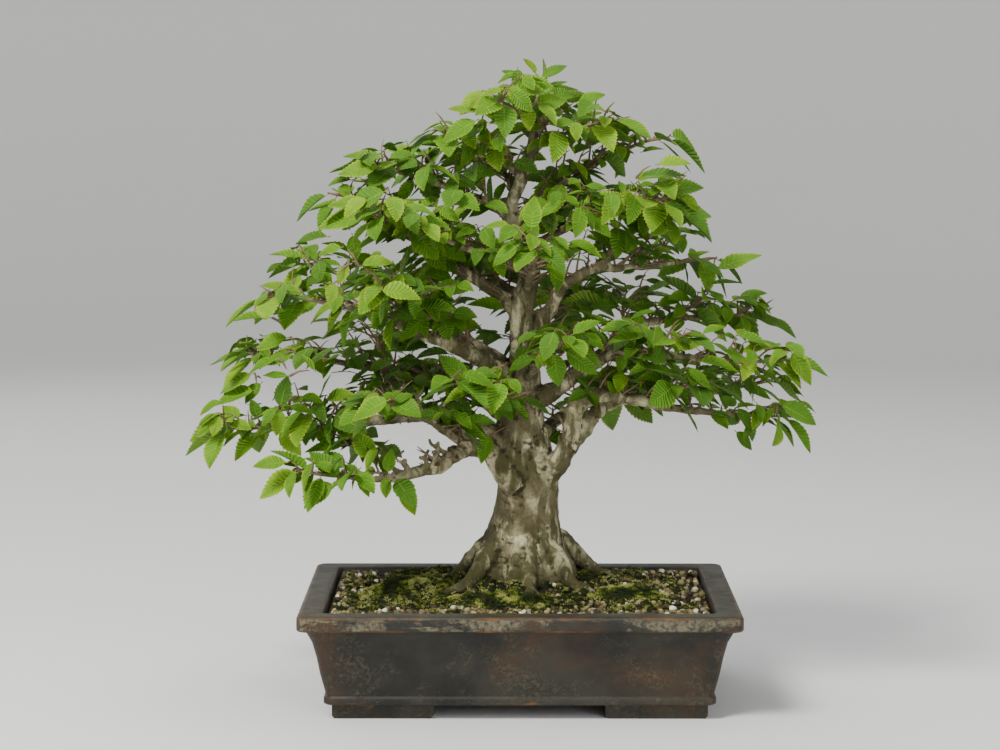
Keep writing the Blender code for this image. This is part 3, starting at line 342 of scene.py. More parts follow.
def tube(line: np.ndarray, radii: Sequence[float], sides: int) -> tuple[list, list]:
    """Points and faces of a closed tube along a line, its rings kept from twisting.

    Args:
        line: the tube's middle.
        radii: its radius at each point.
        sides: how many sides it has.

    Returns:
        The points and the faces.
    """
    points, faces = [], []
    heading = unit(line[1] - line[0])
    across = unit(np.cross(heading, (0.31, 0.17, 0.94) if abs(heading[2]) < 0.9 else (1.0, 0.2, 0.0)))
    for i, centre in enumerate(line):
        ahead = line[min(i + 1, len(line) - 1)] - line[max(i - 1, 0)]
        heading = unit(ahead)
        across = unit(across - heading * (across @ heading))
        beside = np.cross(heading, across)
        for k in range(sides):
            angle = 2 * math.pi * k / sides
            points.append(centre + radii[i] * (across * math.cos(angle) + beside * math.sin(angle)))
    for i in range(len(line) - 1):
        for k in range(sides):
            a, b = i * sides + k, i * sides + (k + 1) % sides
            faces.append((a, b, b + sides, a + sides))
    faces.append(tuple(reversed(range(sides))))
    faces.append(tuple(range((len(line) - 1) * sides, len(line) * sides)))
    return points, faces


def limb_radius(limb: Limb, share: float) -> float:
    """The limb's radius at a share of its length."""
    return limb.first + (limb.last - limb.first) * share ** LIMB_TAPER


def limb_centres(limb: Limb) -> np.ndarray:
    """The centres of the solid limb's rings, a few centimetres apart.

    Args:
        limb: the limb.

    Returns:
        The centres, from the limb's foot to its tip.
    """
    line = smooth_line(limb.route)
    reach = np.linalg.norm(np.diff(line, axis=0), axis=1).sum()
    shares = np.linspace(0.0, 1.0, max(4, round(reach / LIMB_RING_STEP) + 1))
    return np.array([along(line, share)[0] for share in shares])


class Thicket:
    """Everything woody or leafy that a new twig or leaf has to stay clear of."""

    NEAR = 0.05

    def __init__(self) -> None:
        """Starts with nothing in the way."""
        self.keys: dict = {}
        self.lines: list[tuple] = []
        self.solids: list[tuple] = []
        self.line_arrays: tuple = ()
        self.solid_arrays: tuple = ()

    def key(self, owner: object) -> int:
        """A number for the owner of a line or a solid."""
        return self.keys.setdefault(owner, len(self.keys))

    def add_line(self, line: np.ndarray, radii: Sequence[float], owner: object) -> None:
        """Adds a tapered wooden line.

        Args:
            line: its points, from its foot to its end.
            radii: its radius at each point.
            owner: what it belongs to.
        """
        for i in range(len(line) - 1):
            self.lines.append((line[i], line[i + 1], max(radii[i], radii[i + 1]), self.key(owner)))
        self.line_arrays = ()
        self.add_solid(*tube(line, np.array(radii) + TWIG_CLEAR, 6), owner)

    def add_solid(self, points: Sequence, faces: Sequence, owner: object) -> None:
        """Adds a closed shape with the box that it fills.

        Args:
            points: its points.
            faces: its faces.
            owner: what it belongs to.
        """
        tree = BVHTree.FromPolygons([Vector(p) for p in points], faces)
        self.solids.append((np.min(points, axis=0), np.max(points, axis=0), self.key(owner), tree))
        self.solid_arrays = ()

    def room(self, points: Sequence, skip: Iterable = ()) -> float:
        """The least distance from the points to any near wooden line that isn't skipped.

        Args:
            points: the places to look from.
            skip: the owners that don't count.

        Returns:
            The distance, or NEAR where no such line is near.
        """
        if not self.line_arrays:
            self.line_arrays = tuple(np.array([line[k] for line in self.lines]) for k in range(4))
        a, b, r, owner = self.line_arrays
        p = np.array(points)
        low, high = p.min(axis=0) - self.NEAR, p.max(axis=0) + self.NEAR
        near = ((np.minimum(a, b) < high) & (np.maximum(a, b) > low)).all(axis=1)
        near &= ~np.isin(owner, [self.key(s) for s in skip])
        if not near.any():
            return self.NEAR
        a, b, r = a[near], b[near], r[near]
        way = b - a
        p = p[:, None, :]
        t = ((p - a) * way).sum(-1) / np.maximum((way ** 2).sum(-1), 1e-12)
        nearest = a + np.clip(t, 0.0, 1.0)[..., None] * way
        return float((np.linalg.norm(p - nearest, axis=-1) - r).min())

    def crosses(self, points: Sequence, faces: Sequence, skip: Iterable = ()) -> bool:
        """True if the shape crosses one that is already there and isn't skipped.

        Args:
            points: its points.
            faces: its faces.
            skip: the owners that don't count.

        Returns:
            True if it crosses one.
        """
        if not self.solid_arrays:
            self.solid_arrays = tuple(np.array([solid[k] for solid in self.solids]) for k in range(3))
        lows, highs, owner = self.solid_arrays
        low, high = np.min(points, axis=0), np.max(points, axis=0)
        near = ((low <= highs) & (high >= lows)).all(axis=1)
        near &= ~np.isin(owner, [self.key(s) for s in skip])
        found = np.flatnonzero(near)
        if not len(found):
            return False
        tree = BVHTree.FromPolygons([Vector(p) for p in points], faces)
        return any(tree.overlap(self.solids[i][3]) for i in found)


def blade_rows(leaf: Leaf) -> list[tuple]:
    """The blade's stations as (middle point, half width), from the stalk to the tip.

    Args:
        leaf: the blade.

    Returns:
        A middle point and a half width for each station.
    """
    rows = [(0.0, STALK_WIDTH / 2)]
    rows += [(s, w * leaf.width) for s, w in BLADE_OUTLINE]
    rows.append((1.0, 0.0))
    return [(leaf.start + leaf.heading * (s * leaf.length)
             - leaf.normal * (BLADE_ARCH * leaf.length * s * s), w) for s, w in rows]


def blade_solid(leaf: Leaf, thick: float, side: float) -> tuple[list, list]:
    """Points and faces of a plain blade of that thickness, widened on each side.

    Args:
        leaf: the blade.
        thick: how thick it is.
        side: how much wider than the blade on each side.

    Returns:
        The points and the faces.
    """
    across = np.cross(leaf.normal, leaf.heading)
    rows = blade_rows(leaf)
    tip = len(rows) - 1
    points = []
    for lift in (thick / 2, -thick / 2):
        for middle, half in rows[:-1]:
            points.append(middle + across * (half + side) + leaf.normal * lift)
            points.append(middle - across * (half + side) + leaf.normal * lift)
        points.append(rows[tip][0] + leaf.heading * side + leaf.normal * lift)
    low = 2 * tip + 1
    faces = []
    for i in range(tip - 1):
        left, right = 2 * i, 2 * i + 1
        faces.append((left, right, right + 2, left + 2))
        faces.append((low + left + 2, low + right + 2, low + right, low + left))
    last = 2 * tip
    faces.append((last - 2, last - 1, last))
    faces.append((low + last, low + last - 1, low + last - 2))
    border = [2 * i for i in range(tip)] + [last] + [2 * i + 1 for i in reversed(range(tip))]
    for a, b in zip(border, border[1:] + border[:1]):
        faces.append((a, b, low + b, low + a))
    return points, faces


def leaf_frame(place: np.ndarray, twig: np.ndarray, turn: float, droop: float, roll: float) -> tuple:
    """Heading and normal of a leaf that leaves a twig at a turn, hangs down and rolls.

    Args:
        place: the foot of the stalk.
        twig: the twig's heading there.
        turn: how far it turns off the twig, in degrees.
        droop: how far it hangs, in degrees.
        roll: how far it rolls about its own length, in degrees.

    Returns:
        The heading and the normal.
    """
    outward = place - np.array(CROWN_MIDDLE)
    outward[2] = 0.0
    outward = unit(outward + np.array([1e-6, 0.0, 0.0]))
    up = np.array([0.0, 0.0, 1.0]) + OUTWARD_LEAN * outward
    up = unit(up - twig * (up @ twig) * TWIG_PULL)
    heading = unit(turned(twig, up, turn))
    normal = unit(up - heading * (up @ heading))
    across = np.cross(normal, heading)
    heading, normal = turned(heading, across, droop), turned(normal, across, droop)
    return heading, turned(normal, heading, roll)


def twig_line(start: np.ndarray, heading: np.ndarray, length: float, slope: float, bend: float,
              steps: int) -> np.ndarray:
    """A twig that leaves along its heading and bends sideways and towards a slope.

    Args:
        start: where it starts.
        heading: the way it leaves.
        length: how long it is.
        slope: the slope that it bends to.
        bend: how far it bends sideways, in degrees.
        steps: how many pieces it has.

    Returns:
        Its points.
    """
    line = [start]
    flat = unit(np.array([heading[0], heading[1], 1e-9]))
    wanted = unit(flat + np.array([0.0, 0.0, slope]))
    for i in range(steps):
        share = (i + 0.5) / steps
        way = unit(heading * (1 - share) + wanted * share)
        way = turned(way, UP, bend * share)
        line.append(line[-1] + way * (length / steps))
    return np.array(line)


class Growth:
    """Grows the sprays as the solids have them: the same rules, values and order of draws."""

    def __init__(self) -> None:
        """Puts the trunk, the limbs and the stubs in the thicket, and then grows the sprays."""
        self.thicket = Thicket()
        self.sprays: list[Spray] = []
        self.stubs: list[Twig] = []
        self.twigs: dict[str, list[Twig]] = {}
        self.leaves: dict[str, list[Leaf]] = {}
        self.find_starts()
        trunk = np.array(TRUNK)
        self.thicket.add_line(trunk[:, :3], trunk[:, 3], "trunk")
        for limb in LIMBS:
            line = smooth_line(limb.route)[::2]
            shares = np.linspace(0, 1, len(line))
            self.thicket.add_line(line, [limb_radius(limb, s) for s in shares], limb.name)
        for spray, stub in zip([s for s in self.sprays if s.limb is None], self.stubs):
            self.thicket.add_line(stub.line, stub.radii, spray.name)
        for spray in self.sprays:
            self.twigs[spray.name] = self.grow_twigs(spray)
        for spray in self.sprays:
            self.leaves[spray.name] = self.grow_leaves(spray)

    def find_starts(self) -> None:
        """Lists the sprays, and the stubs that the side sprays stand on."""
        for limb in LIMBS:
            rings = limb_centres(limb)
            end, heading = rings[-1], unit(rings[-1] - rings[-2])
            tip = Spray(limb.name + "_tip", end + heading * GAP, heading, limb.tip, limb.last, limb.name)
            self.sprays.append(tip)
            for number, (share, turn, rise, length) in enumerate(limb.sides, 1):
                centre, heading = along(rings, share)
                out = unit(turned(np.array([heading[0], heading[1], 0.0]), UP, turn))
                out = unit(out + np.array([0.0, 0.0, math.tan(math.radians(rise))]))
                reach = limb_radius(limb, share) + STUB_LENGTH
                radius = min(STUB_RADIUS, STUB_SHARE * limb_radius(limb, share))
                self.stubs.append(Twig(np.array([centre, centre + out * reach]), np.full(2, radius)))
                start = centre + out * (reach + GAP)
                self.sprays.append(Spray(f"{limb.name}_side_{number}", start, out, length, radius, None))
        top = np.array(TRUNK[-1][:3])
        heading = unit(top - np.array(TRUNK[-2][:3]))
        self.sprays.append(Spray("apex", top + heading * GAP, heading, APEX_SPRAY_LENGTH, TRUNK[-1][3],
                                 "trunk"))

    def free_twig(self, start: np.ndarray, heading: np.ndarray, length: float, slope: float, bend: float,
                  steps: int, radius: float, skip: Iterable) -> Optional[np.ndarray]:
        """The first of a few tries at a twig that comes clear of all other wood, or None.

        Args:
            start: where it starts.
            heading: the way it leaves.
            length: how long it is.
            slope: the slope that it bends to.
            bend: how far it bends sideways, in degrees.
            steps: how many pieces it has.
            radius: how thick it is at its foot.
            skip: the owners of wood that it may touch.

        Returns:
            Its points, or None.
        """
        lead = [start] if steps > 1 else []
        if lead:
            start = start + heading * 1.5 * radius
        for shorter in TWIG_LENGTHS:
            for swing, lift in TWIG_TRIES:
                way = unit(turned(heading, UP, swing) + UP * lift)
                line = np.array(lead + list(twig_line(start, way, length * shorter, slope, bend, steps)))
                probes = list(line[1:]) + [(a + b) / 2 for a, b in zip(line[:-1], line[1:])]
                if self.thicket.room(probes, skip) < radius + TWIG_CLEAR:
                    continue
                if not self.thicket.crosses(*tube(line, np.full(len(line), radius), 4), skip):
                    return line
        return None

    def grow_twigs(self, spray: Spray) -> list[Twig]:
        """The spray's axis, and two forks on a long one.

        Args:
            spray: the spray.

        Returns:
            The axis first, and then the forks.
        """
        name, start, heading, length, radius, limb = spray
        draw = Random(name)
        slope = draw.uniform(*TIP_SLOPE) if limb else draw.uniform(*SIDE_SLOPE)
        slope = APEX_SLOPE if name == "apex" else slope
        bend = draw.uniform(-AXIS_BEND, AXIS_BEND)
        own = [name, limb] + [(name, k) for k in range(1 + len(FORK_SHARES))]
        axis = self.free_twig(start, heading, length * AXIS_SHARE, slope, bend, AXIS_STEPS, radius, own)
        twigs = [Twig(axis, np.linspace(radius, TWIG_END_RADIUS, len(axis)))]
        self.thicket.add_line(axis, twigs[0].radii, (name, 0))
        side = draw.choice((-1, 1))
        for share in FORK_SHARES:
            place, way = along(axis, share)
            turn = side * draw.uniform(*FORK_TURN)
            out = turned(way, UP, turn)
            reach = length * draw.uniform(*FORK_REACH)
            line = self.free_twig(place, out, reach, FORK_SLOPE, 0.0, 1, FORK_RADIUS, own)
            if line is not None and length > FORKED_LENGTH:
                twigs.append(Twig(line, np.full(2, FORK_RADIUS)))
                self.thicket.add_line(line, twigs[-1].radii, (name, len(twigs) - 1))
            side = -side
        return twigs

    def grow_leaves(self, spray: Spray) -> list[Leaf]:
        """The spray's leaves: one at the end of each twig and some along its axis.

        Args:
            spray: the spray.

        Returns:
            Its leaves.
        """
        draw = Random(spray.name + " leaves")
        side = draw.choice((-1, 1))
        twigs = self.twigs[spray.name]
        places = [(k, 1.0, 0.0) for k in range(len(twigs))]
        for share in LEAF_SHARES:
            places.append((0, share, side * LEAF_TURN))
            side = -side
        wanted = max(FEWEST_LEAVES, round(spray.length / LEAF_SPACING))
        leaves: list[Leaf] = []
        for k, share, turn in places:
            place, way = along(twigs[k].line, share)
            length = draw.uniform(*BLADE_LENGTH) * (APEX_BLADE if spray.name == "apex" else 1.0)
            first = turn + draw.uniform(-LEAF_SWING, LEAF_SWING)
            droop = draw.uniform(*LEAF_DROOP)
            roll = draw.uniform(-LEAF_ROLL, LEAF_ROLL)
            leaf = self.free_leaf((spray.name, k), place, way, first, droop, roll, length)
            if leaf is not None and len(leaves) < wanted:
                leaves.append(leaf)
                self.thicket.add_solid(*blade_solid(leaf, BLADE_THICK, 0.0), "blade")
        return leaves

    def free_leaf(self, twig: object, place: np.ndarray, way: np.ndarray, turn: float, droop: float,
                  roll: float, length: float) -> Optional[Leaf]:
        """The first of a few tries at a leaf clear of wood and other blades, or None.

        Args:
            twig: the owner of the twig that it stands on.
            place: the foot of its stalk.
            way: the twig's heading there.
            turn: how far it turns off the twig, in degrees.
            droop: how far it hangs, in degrees.
            roll: how far it rolls, in degrees.
            length: how long it is.

        Returns:
            The leaf, or None.
        """
        for smaller in LEAF_LENGTHS:
            for swing, dip, tip in LEAF_TRIES:
                heading, normal = leaf_frame(place, way, turn + swing, droop + dip, roll + tip)
                size = length * smaller
                leaf = Leaf(place, heading, normal, size, size * BLADE_WIDTH)
                rows = blade_rows(leaf)
                across = np.cross(normal, heading)
                outer = [m + across * w * k for m, w in rows[2:] for k in (-1, 0, 1)]
                if self.thicket.room([m for m, _ in rows[1:]], (twig,)) < TWIG_CLEAR:
                    continue
                if self.thicket.room(outer) < TWIG_CLEAR:
                    continue
                if not self.thicket.crosses(*blade_solid(leaf, CLEAR_THICK, CLEAR_SIDE), (twig,)):
                    return leaf
        return None


# The mix node's two colour inputs and its colour output, by number
MIX_FIRST, MIX_SECOND, MIX_RESULT = 6, 7, 2


class Graph:
    """A material with short calls for the nodes that the finishes use."""

    def __init__(self, name: str) -> None:
        """Starts an empty material that reads its pattern from Object coordinates.

        Args:
            name: the material's name.
        """
        self.material = bpy.data.materials.new(name)
        self.material.use_nodes = True
        self.tree = self.material.node_tree
        self.tree.nodes.clear()
        self.place = self.node("ShaderNodeTexCoord").outputs["Object"]

    def node(self, kind: str, **settings: object) -> Node:
        """A new node with its settings.

        Args:
            kind: Blender's name for it.
            settings: its own settings.

        Returns:
            The node.
        """
        made = self.tree.nodes.new(kind)
        for key, value in settings.items():
            setattr(made, key, value)
        return made

    def put(self, socket: NodeSocket, value: object) -> None:
        """Links a socket to another, or sets its own value.

        Args:
            socket: the input.
            value: another socket, a number or a colour.
        """
        if isinstance(value, NodeSocket):
            self.tree.links.new(value, socket)
        elif isinstance(value, tuple) and len(value) == 3 and socket.type == "RGBA":
            socket.default_value = (*value, 1.0)
        else:
            socket.default_value = value

    def scaled(self, sizes: tuple) -> NodeSocket:
        """Object coordinates stretched by those factors.

        Args:
            sizes: the factor for each axis.

        Returns:
            The stretched coordinates.
        """
        mapping = self.node("ShaderNodeMapping")
        self.put(mapping.inputs["Vector"], self.place)
        mapping.inputs["Scale"].default_value = sizes
        return mapping.outputs["Vector"]

    def noise(self, scale: float, detail: float = 4.0, rough: float = 0.55, twist: float = 0.0,
              place: Optional[NodeSocket] = None) -> NodeSocket:
        """Cloudy noise from 0 to 1.

        Args:
            scale: how fine it is.
            detail: how many finer layers it has.
            rough: how much the finer layers count.
            twist: how far it is warped.
            place: the coordinates, if not the piece's own.

        Returns:
            The noise.
        """
        made = self.node("ShaderNodeTexNoise")
        self.put(made.inputs["Vector"], place or self.place)
        made.inputs["Scale"].default_value = scale
        made.inputs["Detail"].default_value = detail
        made.inputs["Roughness"].default_value = rough
        made.inputs["Distortion"].default_value = twist
        return made.outputs["Fac"]

    def cells(self, scale: float) -> NodeSocket:
        """Distance in a pattern of cells.

        Args:
            scale: how fine they are.

        Returns:
            The distance.
        """
        made = self.node("ShaderNodeTexVoronoi")
        self.put(made.inputs["Vector"], self.place)
        made.inputs["Scale"].default_value = scale
        return made.outputs["Distance"]

    def value(self, name: str) -> NodeSocket:
        """A value that the piece keeps for each of its points."""
        return self.node("ShaderNodeAttribute", attribute_name=name).outputs["Fac"]

    def map(self) -> tuple:
        """Both ways of the piece's own map.

        Returns:
            The two ways, from 0 to 1.
        """
        split = self.node("ShaderNodeSeparateXYZ")
        self.put(split.inputs[0], self.node("ShaderNodeUVMap", uv_map=LEAF_MAP).outputs["UV"])
        return split.outputs["X"], split.outputs["Y"]

    def height(self) -> NodeSocket:
        """The height over the ground.

        Returns:
            The height in metres.
        """
        split = self.node("ShaderNodeSeparateXYZ")
        self.put(split.inputs[0], self.place)
        return split.outputs["Z"]

    def maths(self, operation: str, a: object, b: object = 0.0) -> NodeSocket:
        """One sum, product or other operation.

        Args:
            operation: Blender's name for it.
            a: the first number or socket.
            b: the second.

        Returns:
            The result.
        """
        made = self.node("ShaderNodeMath", operation=operation)
        self.put(made.inputs[0], a)
        self.put(made.inputs[1], b)
        return made.outputs[0]

    def times(self, a: object, b: object) -> NodeSocket:
        """The first times the second."""
        return self.maths("MULTIPLY", a, b)

    def plus(self, a: object, b: object) -> NodeSocket:
        """The first and the second together."""
        return self.maths("ADD", a, b)

    def rest(self, a: object) -> NodeSocket:
        """What is left of one."""
        return self.maths("SUBTRACT", 1.0, a)

    def window(self, value: NodeSocket, low: float, high: float) -> NodeSocket:
        """Rises smoothly from 0 at low to 1 at high.

        Args:
            value: what is read.
            low: where it starts to rise.
            high: where it is full.

        Returns:
            The risen value.
        """
        made = self.node("ShaderNodeMapRange", interpolation_type="SMOOTHSTEP")
        self.put(made.inputs["Value"], value)
        made.inputs["From Min"].default_value = low
        made.inputs["From Max"].default_value = high
        return made.outputs["Result"]

    def blend(self, share: object, first: object, second: object) -> NodeSocket:
        """A mix of two colours.

        Args:
            share: how much of the second, from 0 to 1.
            first: the colour under it.
            second: the colour over it.

        Returns:
            The mixed colour.
        """
        made = self.node("ShaderNodeMix", data_type="RGBA")
        self.put(made.inputs[0], share)
        self.put(made.inputs[MIX_FIRST], first)
        self.put(made.inputs[MIX_SECOND], second)
        return made.outputs[MIX_RESULT]

    def ramp(self, value: NodeSocket, stops: Sequence[tuple]) -> NodeSocket:
        """A run of colours, each stop as (place, colour).

        Args:
            value: what is read, from 0 to 1.
            stops: the places and colours.

        Returns:
            The colour.
        """
        made = self.node("ShaderNodeValToRGB")
        self.put(made.inputs["Fac"], value)
        ramp = made.color_ramp
        while len(ramp.elements) < len(stops):
            ramp.elements.new(0.5)
        for element, (place, colour) in zip(ramp.elements, stops):
            element.position = place
            element.color = (*colour, 1.0)
        return made.outputs["Color"]

    def bump(self, height: NodeSocket, depth: float, strength: float = 1.0) -> NodeSocket:
        """A normal from relief of that depth in metres.

        Args:
            height: the pattern.
            depth: how deep it is.
            strength: how strongly it shows.

        Returns:
            The normal.
        """
        made = self.node("ShaderNodeBump")
        made.inputs["Strength"].default_value = strength
        made.inputs["Distance"].default_value = depth
        self.put(made.inputs["Height"], height)
        return made.outputs["Normal"]

    def surface(self, through: float = 0.0, through_colour: object = None,
                **inputs: object) -> Material:
        """Ends the material in a Principled shader.

        Args:
            through: the share of light that passes a thin blade.
            through_colour: the colour of that light.
            inputs: the shader's inputs by name, with _ for a space.

        Returns:
            The finished material.
        """
        shader = self.node("ShaderNodeBsdfPrincipled")
        for key, value in inputs.items():
            self.put(shader.inputs[key.replace("_", " ")], value)
        last = shader.outputs["BSDF"]
        if through:
            glow = self.node("ShaderNodeBsdfTranslucent")
            self.put(glow.inputs["Color"], through_colour)
            mixed = self.node("ShaderNodeMixShader")
            mixed.inputs[0].default_value = through
            self.put(mixed.inputs[1], last)
            self.put(mixed.inputs[2], glow.outputs["BSDF"])
            last = mixed.outputs["Shader"]
        output = self.node("ShaderNodeOutputMaterial")
        self.put(output.inputs["Surface"], last)
        return self.material


LEAF_MAP = "LeafMap"
VEIN_PAIRS = 11


@dataclass(frozen=True)
class LeafFinish:
    """Fresh pleated hornbeam leaf: yellow-green when young, dark and bluish when old."""

    young: tuple = (0.30, 0.54, 0.022)
    grown: tuple = (0.115, 0.34, 0.016)
    old: tuple = (0.042, 0.170, 0.024)
    rim: tuple = (0.48, 0.56, 0.05)
    vein: tuple = (0.34, 0.54, 0.06)
    burnt: tuple = (0.19, 0.070, 0.026)
    underside: tuple = (0.20, 0.33, 0.10)
    # The painted shade in the pleats' valleys
    pleat_shade: tuple = (0.010, 0.050, 0.006)
    glow: tuple = (0.44, 0.66, 0.02)

    def material(self, under: bool = False) -> Material:
        """Colour by age, painted highlight on the pleats' ridges and painted shade in their valleys, pale
        veins along the pleats, a light rim and a few scorched tips.

        Args:
            under: True for the paler, duller underside.

        Returns:
            The material.
        """
        g = Graph("leaf_underside" if under else "leaf")
        along_leaf, over_leaf = g.map()
        age = g.value("age")
        cloud = g.noise(90.0, 3.0)
        toned = g.plus(age, g.times(g.maths("SUBTRACT", cloud, 0.5), 0.5))
        colour = g.ramp(toned, ((0.0, self.young), (0.45, self.grown), (1.0, self.old)))
        off = g.maths("ABSOLUTE", g.maths("SUBTRACT", over_leaf, 0.5))
        wave = g.maths("COSINE", g.times(along_leaf, 2 * math.pi * (VEIN_PAIRS + 1)))
        ridge = g.times(g.rest(wave), 0.5)
        fade = g.rest(g.window(off, 0.40, 0.50))
        # Painted highlight: the pleats' ridges lighter, towards the rim colour
        colour = g.blend(g.times(ridge, 0.16), colour, self.rim)
        # Painted shade: the pleats' valleys darker
        pleat_shade_share = g.times(g.window(wave, 0.1, 0.9), 0.34)
        colour = g.blend(pleat_shade_share, colour, g.blend(0.60, colour, self.pleat_shade))
        side_vein = g.times(g.window(wave, 0.80, 1.0), fade)
        midrib = g.rest(g.window(off, 0.010, 0.045))
        vein = g.maths("MAXIMUM", g.times(side_vein, 0.30), g.times(midrib, 0.75))
        colour = g.blend(vein, colour, self.vein)
        fresh = g.rest(g.window(age, 0.25, 0.70))
        rim = g.plus(g.times(fresh, 0.7), 0.15)
        rim = g.times(g.window(off, 0.40, 0.50), rim)
        colour = g.blend(rim, colour, self.rim)
        tip = g.plus(g.window(along_leaf, 0.70, 1.0), g.window(off, 0.40, 0.52))
        spots = g.window(g.noise(260.0, 2.0), 0.42, 0.62)
        burnt = g.times(g.times(tip, spots), g.value("burn"))
        colour = g.blend(g.window(burnt, 0.15, 0.8), colour, self.burnt)
        if under:
            colour = g.blend(0.45, colour, self.underside)
        glow = g.blend(0.35, colour, self.glow)
        relief = g.plus(g.times(ridge, -1.0 if under else 1.0),
                         g.times(g.noise(900.0, 2.0), 0.25))
        return g.surface(through=0.34, through_colour=glow, Base_Color=colour,
                         Roughness=0.68 if under else 0.56, Specular_IOR_Level=0.14 if under else 0.20,
                         Normal=g.bump(relief, 0.00075, 1.0))


@dataclass(frozen=True)
class TwigFinish:
    """Twigs that run from grey bark through red-brown wood to green stalks."""

    bark: tuple = (0.230, 0.180, 0.105)
    wood: tuple = (0.215, 0.130, 0.058)
    stalk: tuple = (0.28, 0.27, 0.055)
    stain: tuple = (0.05, 0.03, 0.02)
    pore: tuple = (0.42, 0.37, 0.27)

    def material(self) -> Material:
        """Colour by how young the wood is, with small pale pores.

        Returns:
            The material.
        """
        g = Graph("twig")
        colour = g.ramp(g.value("young"), ((0.0, self.bark), (0.5, self.wood), (1.0, self.stalk)))
        cloud = g.noise(240.0, 3.0)
        stained = g.blend(0.45, colour, self.stain)
        colour = g.blend(g.window(cloud, 0.35, 0.75), stained, colour)
        pore = g.rest(g.window(g.cells(1100.0), 0.12, 0.26))
        colour = g.blend(g.times(pore, 0.35), colour, self.pore)
        return g.surface(Base_Color=colour, Roughness=0.62, Specular_IOR_Level=0.35,
                         Normal=g.bump(g.noise(1400.0, 3.0), 0.0002, 0.6))


@dataclass(frozen=True)
class BarkFinish:
    """Smooth pale grey hornbeam bark, mottled brown and green, with painted shade in its folds."""

    pale: tuple = (0.72, 0.650, 0.400)
    grey: tuple = (0.105, 0.093, 0.045)
    green: tuple = (0.074, 0.080, 0.022)
    brown: tuple = (0.078, 0.061, 0.024)
    # Dark brown for the small specks, and for the painted shade in folds and hollows
    fold: tuple = (0.020, 0.014, 0.006)
    thin: tuple = (0.175, 0.146, 0.078)
    damp: tuple = (0.040, 0.042, 0.012)

    def material(self) -> Material:
        """Broad grey and cream fields, brown freckles, green film and painted shade in the folds.

        Returns:
            The material.
        """
        g = Graph("bark")
        streak = g.scaled((1.0, 1.0, 0.42))
        field = g.noise(52.0, 5.0, 0.62, 0.9, streak)
        colour = g.blend(g.window(field, 0.45, 0.60), self.grey, self.pale)
        film = g.noise(34.0, 4.0, 0.62)
        film_share = g.times(g.window(film, 0.43, 0.63), 0.58)
        colour = g.blend(film_share, colour, self.green)
        thin = g.times(g.value("thin"), g.window(g.noise(70.0, 4.0, 0.6), 0.28, 0.56))
        colour = g.blend(g.times(thin, 0.75), colour, self.thin)
        low = g.rest(g.window(g.height(), 0.104, 0.134))
        damp = g.times(low, g.window(g.noise(90.0, 5.0, 0.65), 0.28, 0.52))
        colour = g.blend(g.times(damp, 0.92), colour, self.damp)
        mottle = g.noise(64.0, 6.0, 0.66, 0.8)
        colour = g.blend(g.times(g.window(mottle, 0.50, 0.64), 0.70), colour, self.brown)
        freckle = g.noise(210.0, 6.0, 0.72, 1.0, g.scaled((1.0, 1.0, 1.5)))
        colour = g.blend(g.times(g.window(freckle, 0.54, 0.66), 0.50), colour, self.brown)
        speck = g.noise(520.0, 3.0, 0.6)
        colour = g.blend(g.times(g.window(speck, 0.58, 0.68), 0.35), colour, self.fold)
        # Painted shade: the folds and hollows that the wood keeps are darkened towards brown and near black
        fold = g.window(g.value("fold"), 0.20, 0.95)
        colour = g.blend(g.times(fold, 0.90), colour, g.blend(0.7, self.brown, self.fold))
        relief = g.plus(g.noise(380.0, 6.0, 0.66, 0.6, streak),
                         g.times(g.noise(1400.0, 3.0), 0.30))
        return g.surface(Base_Color=colour, Roughness=0.82, Specular_IOR_Level=0.25,
                         Normal=g.bump(relief, 0.0017, 0.9))


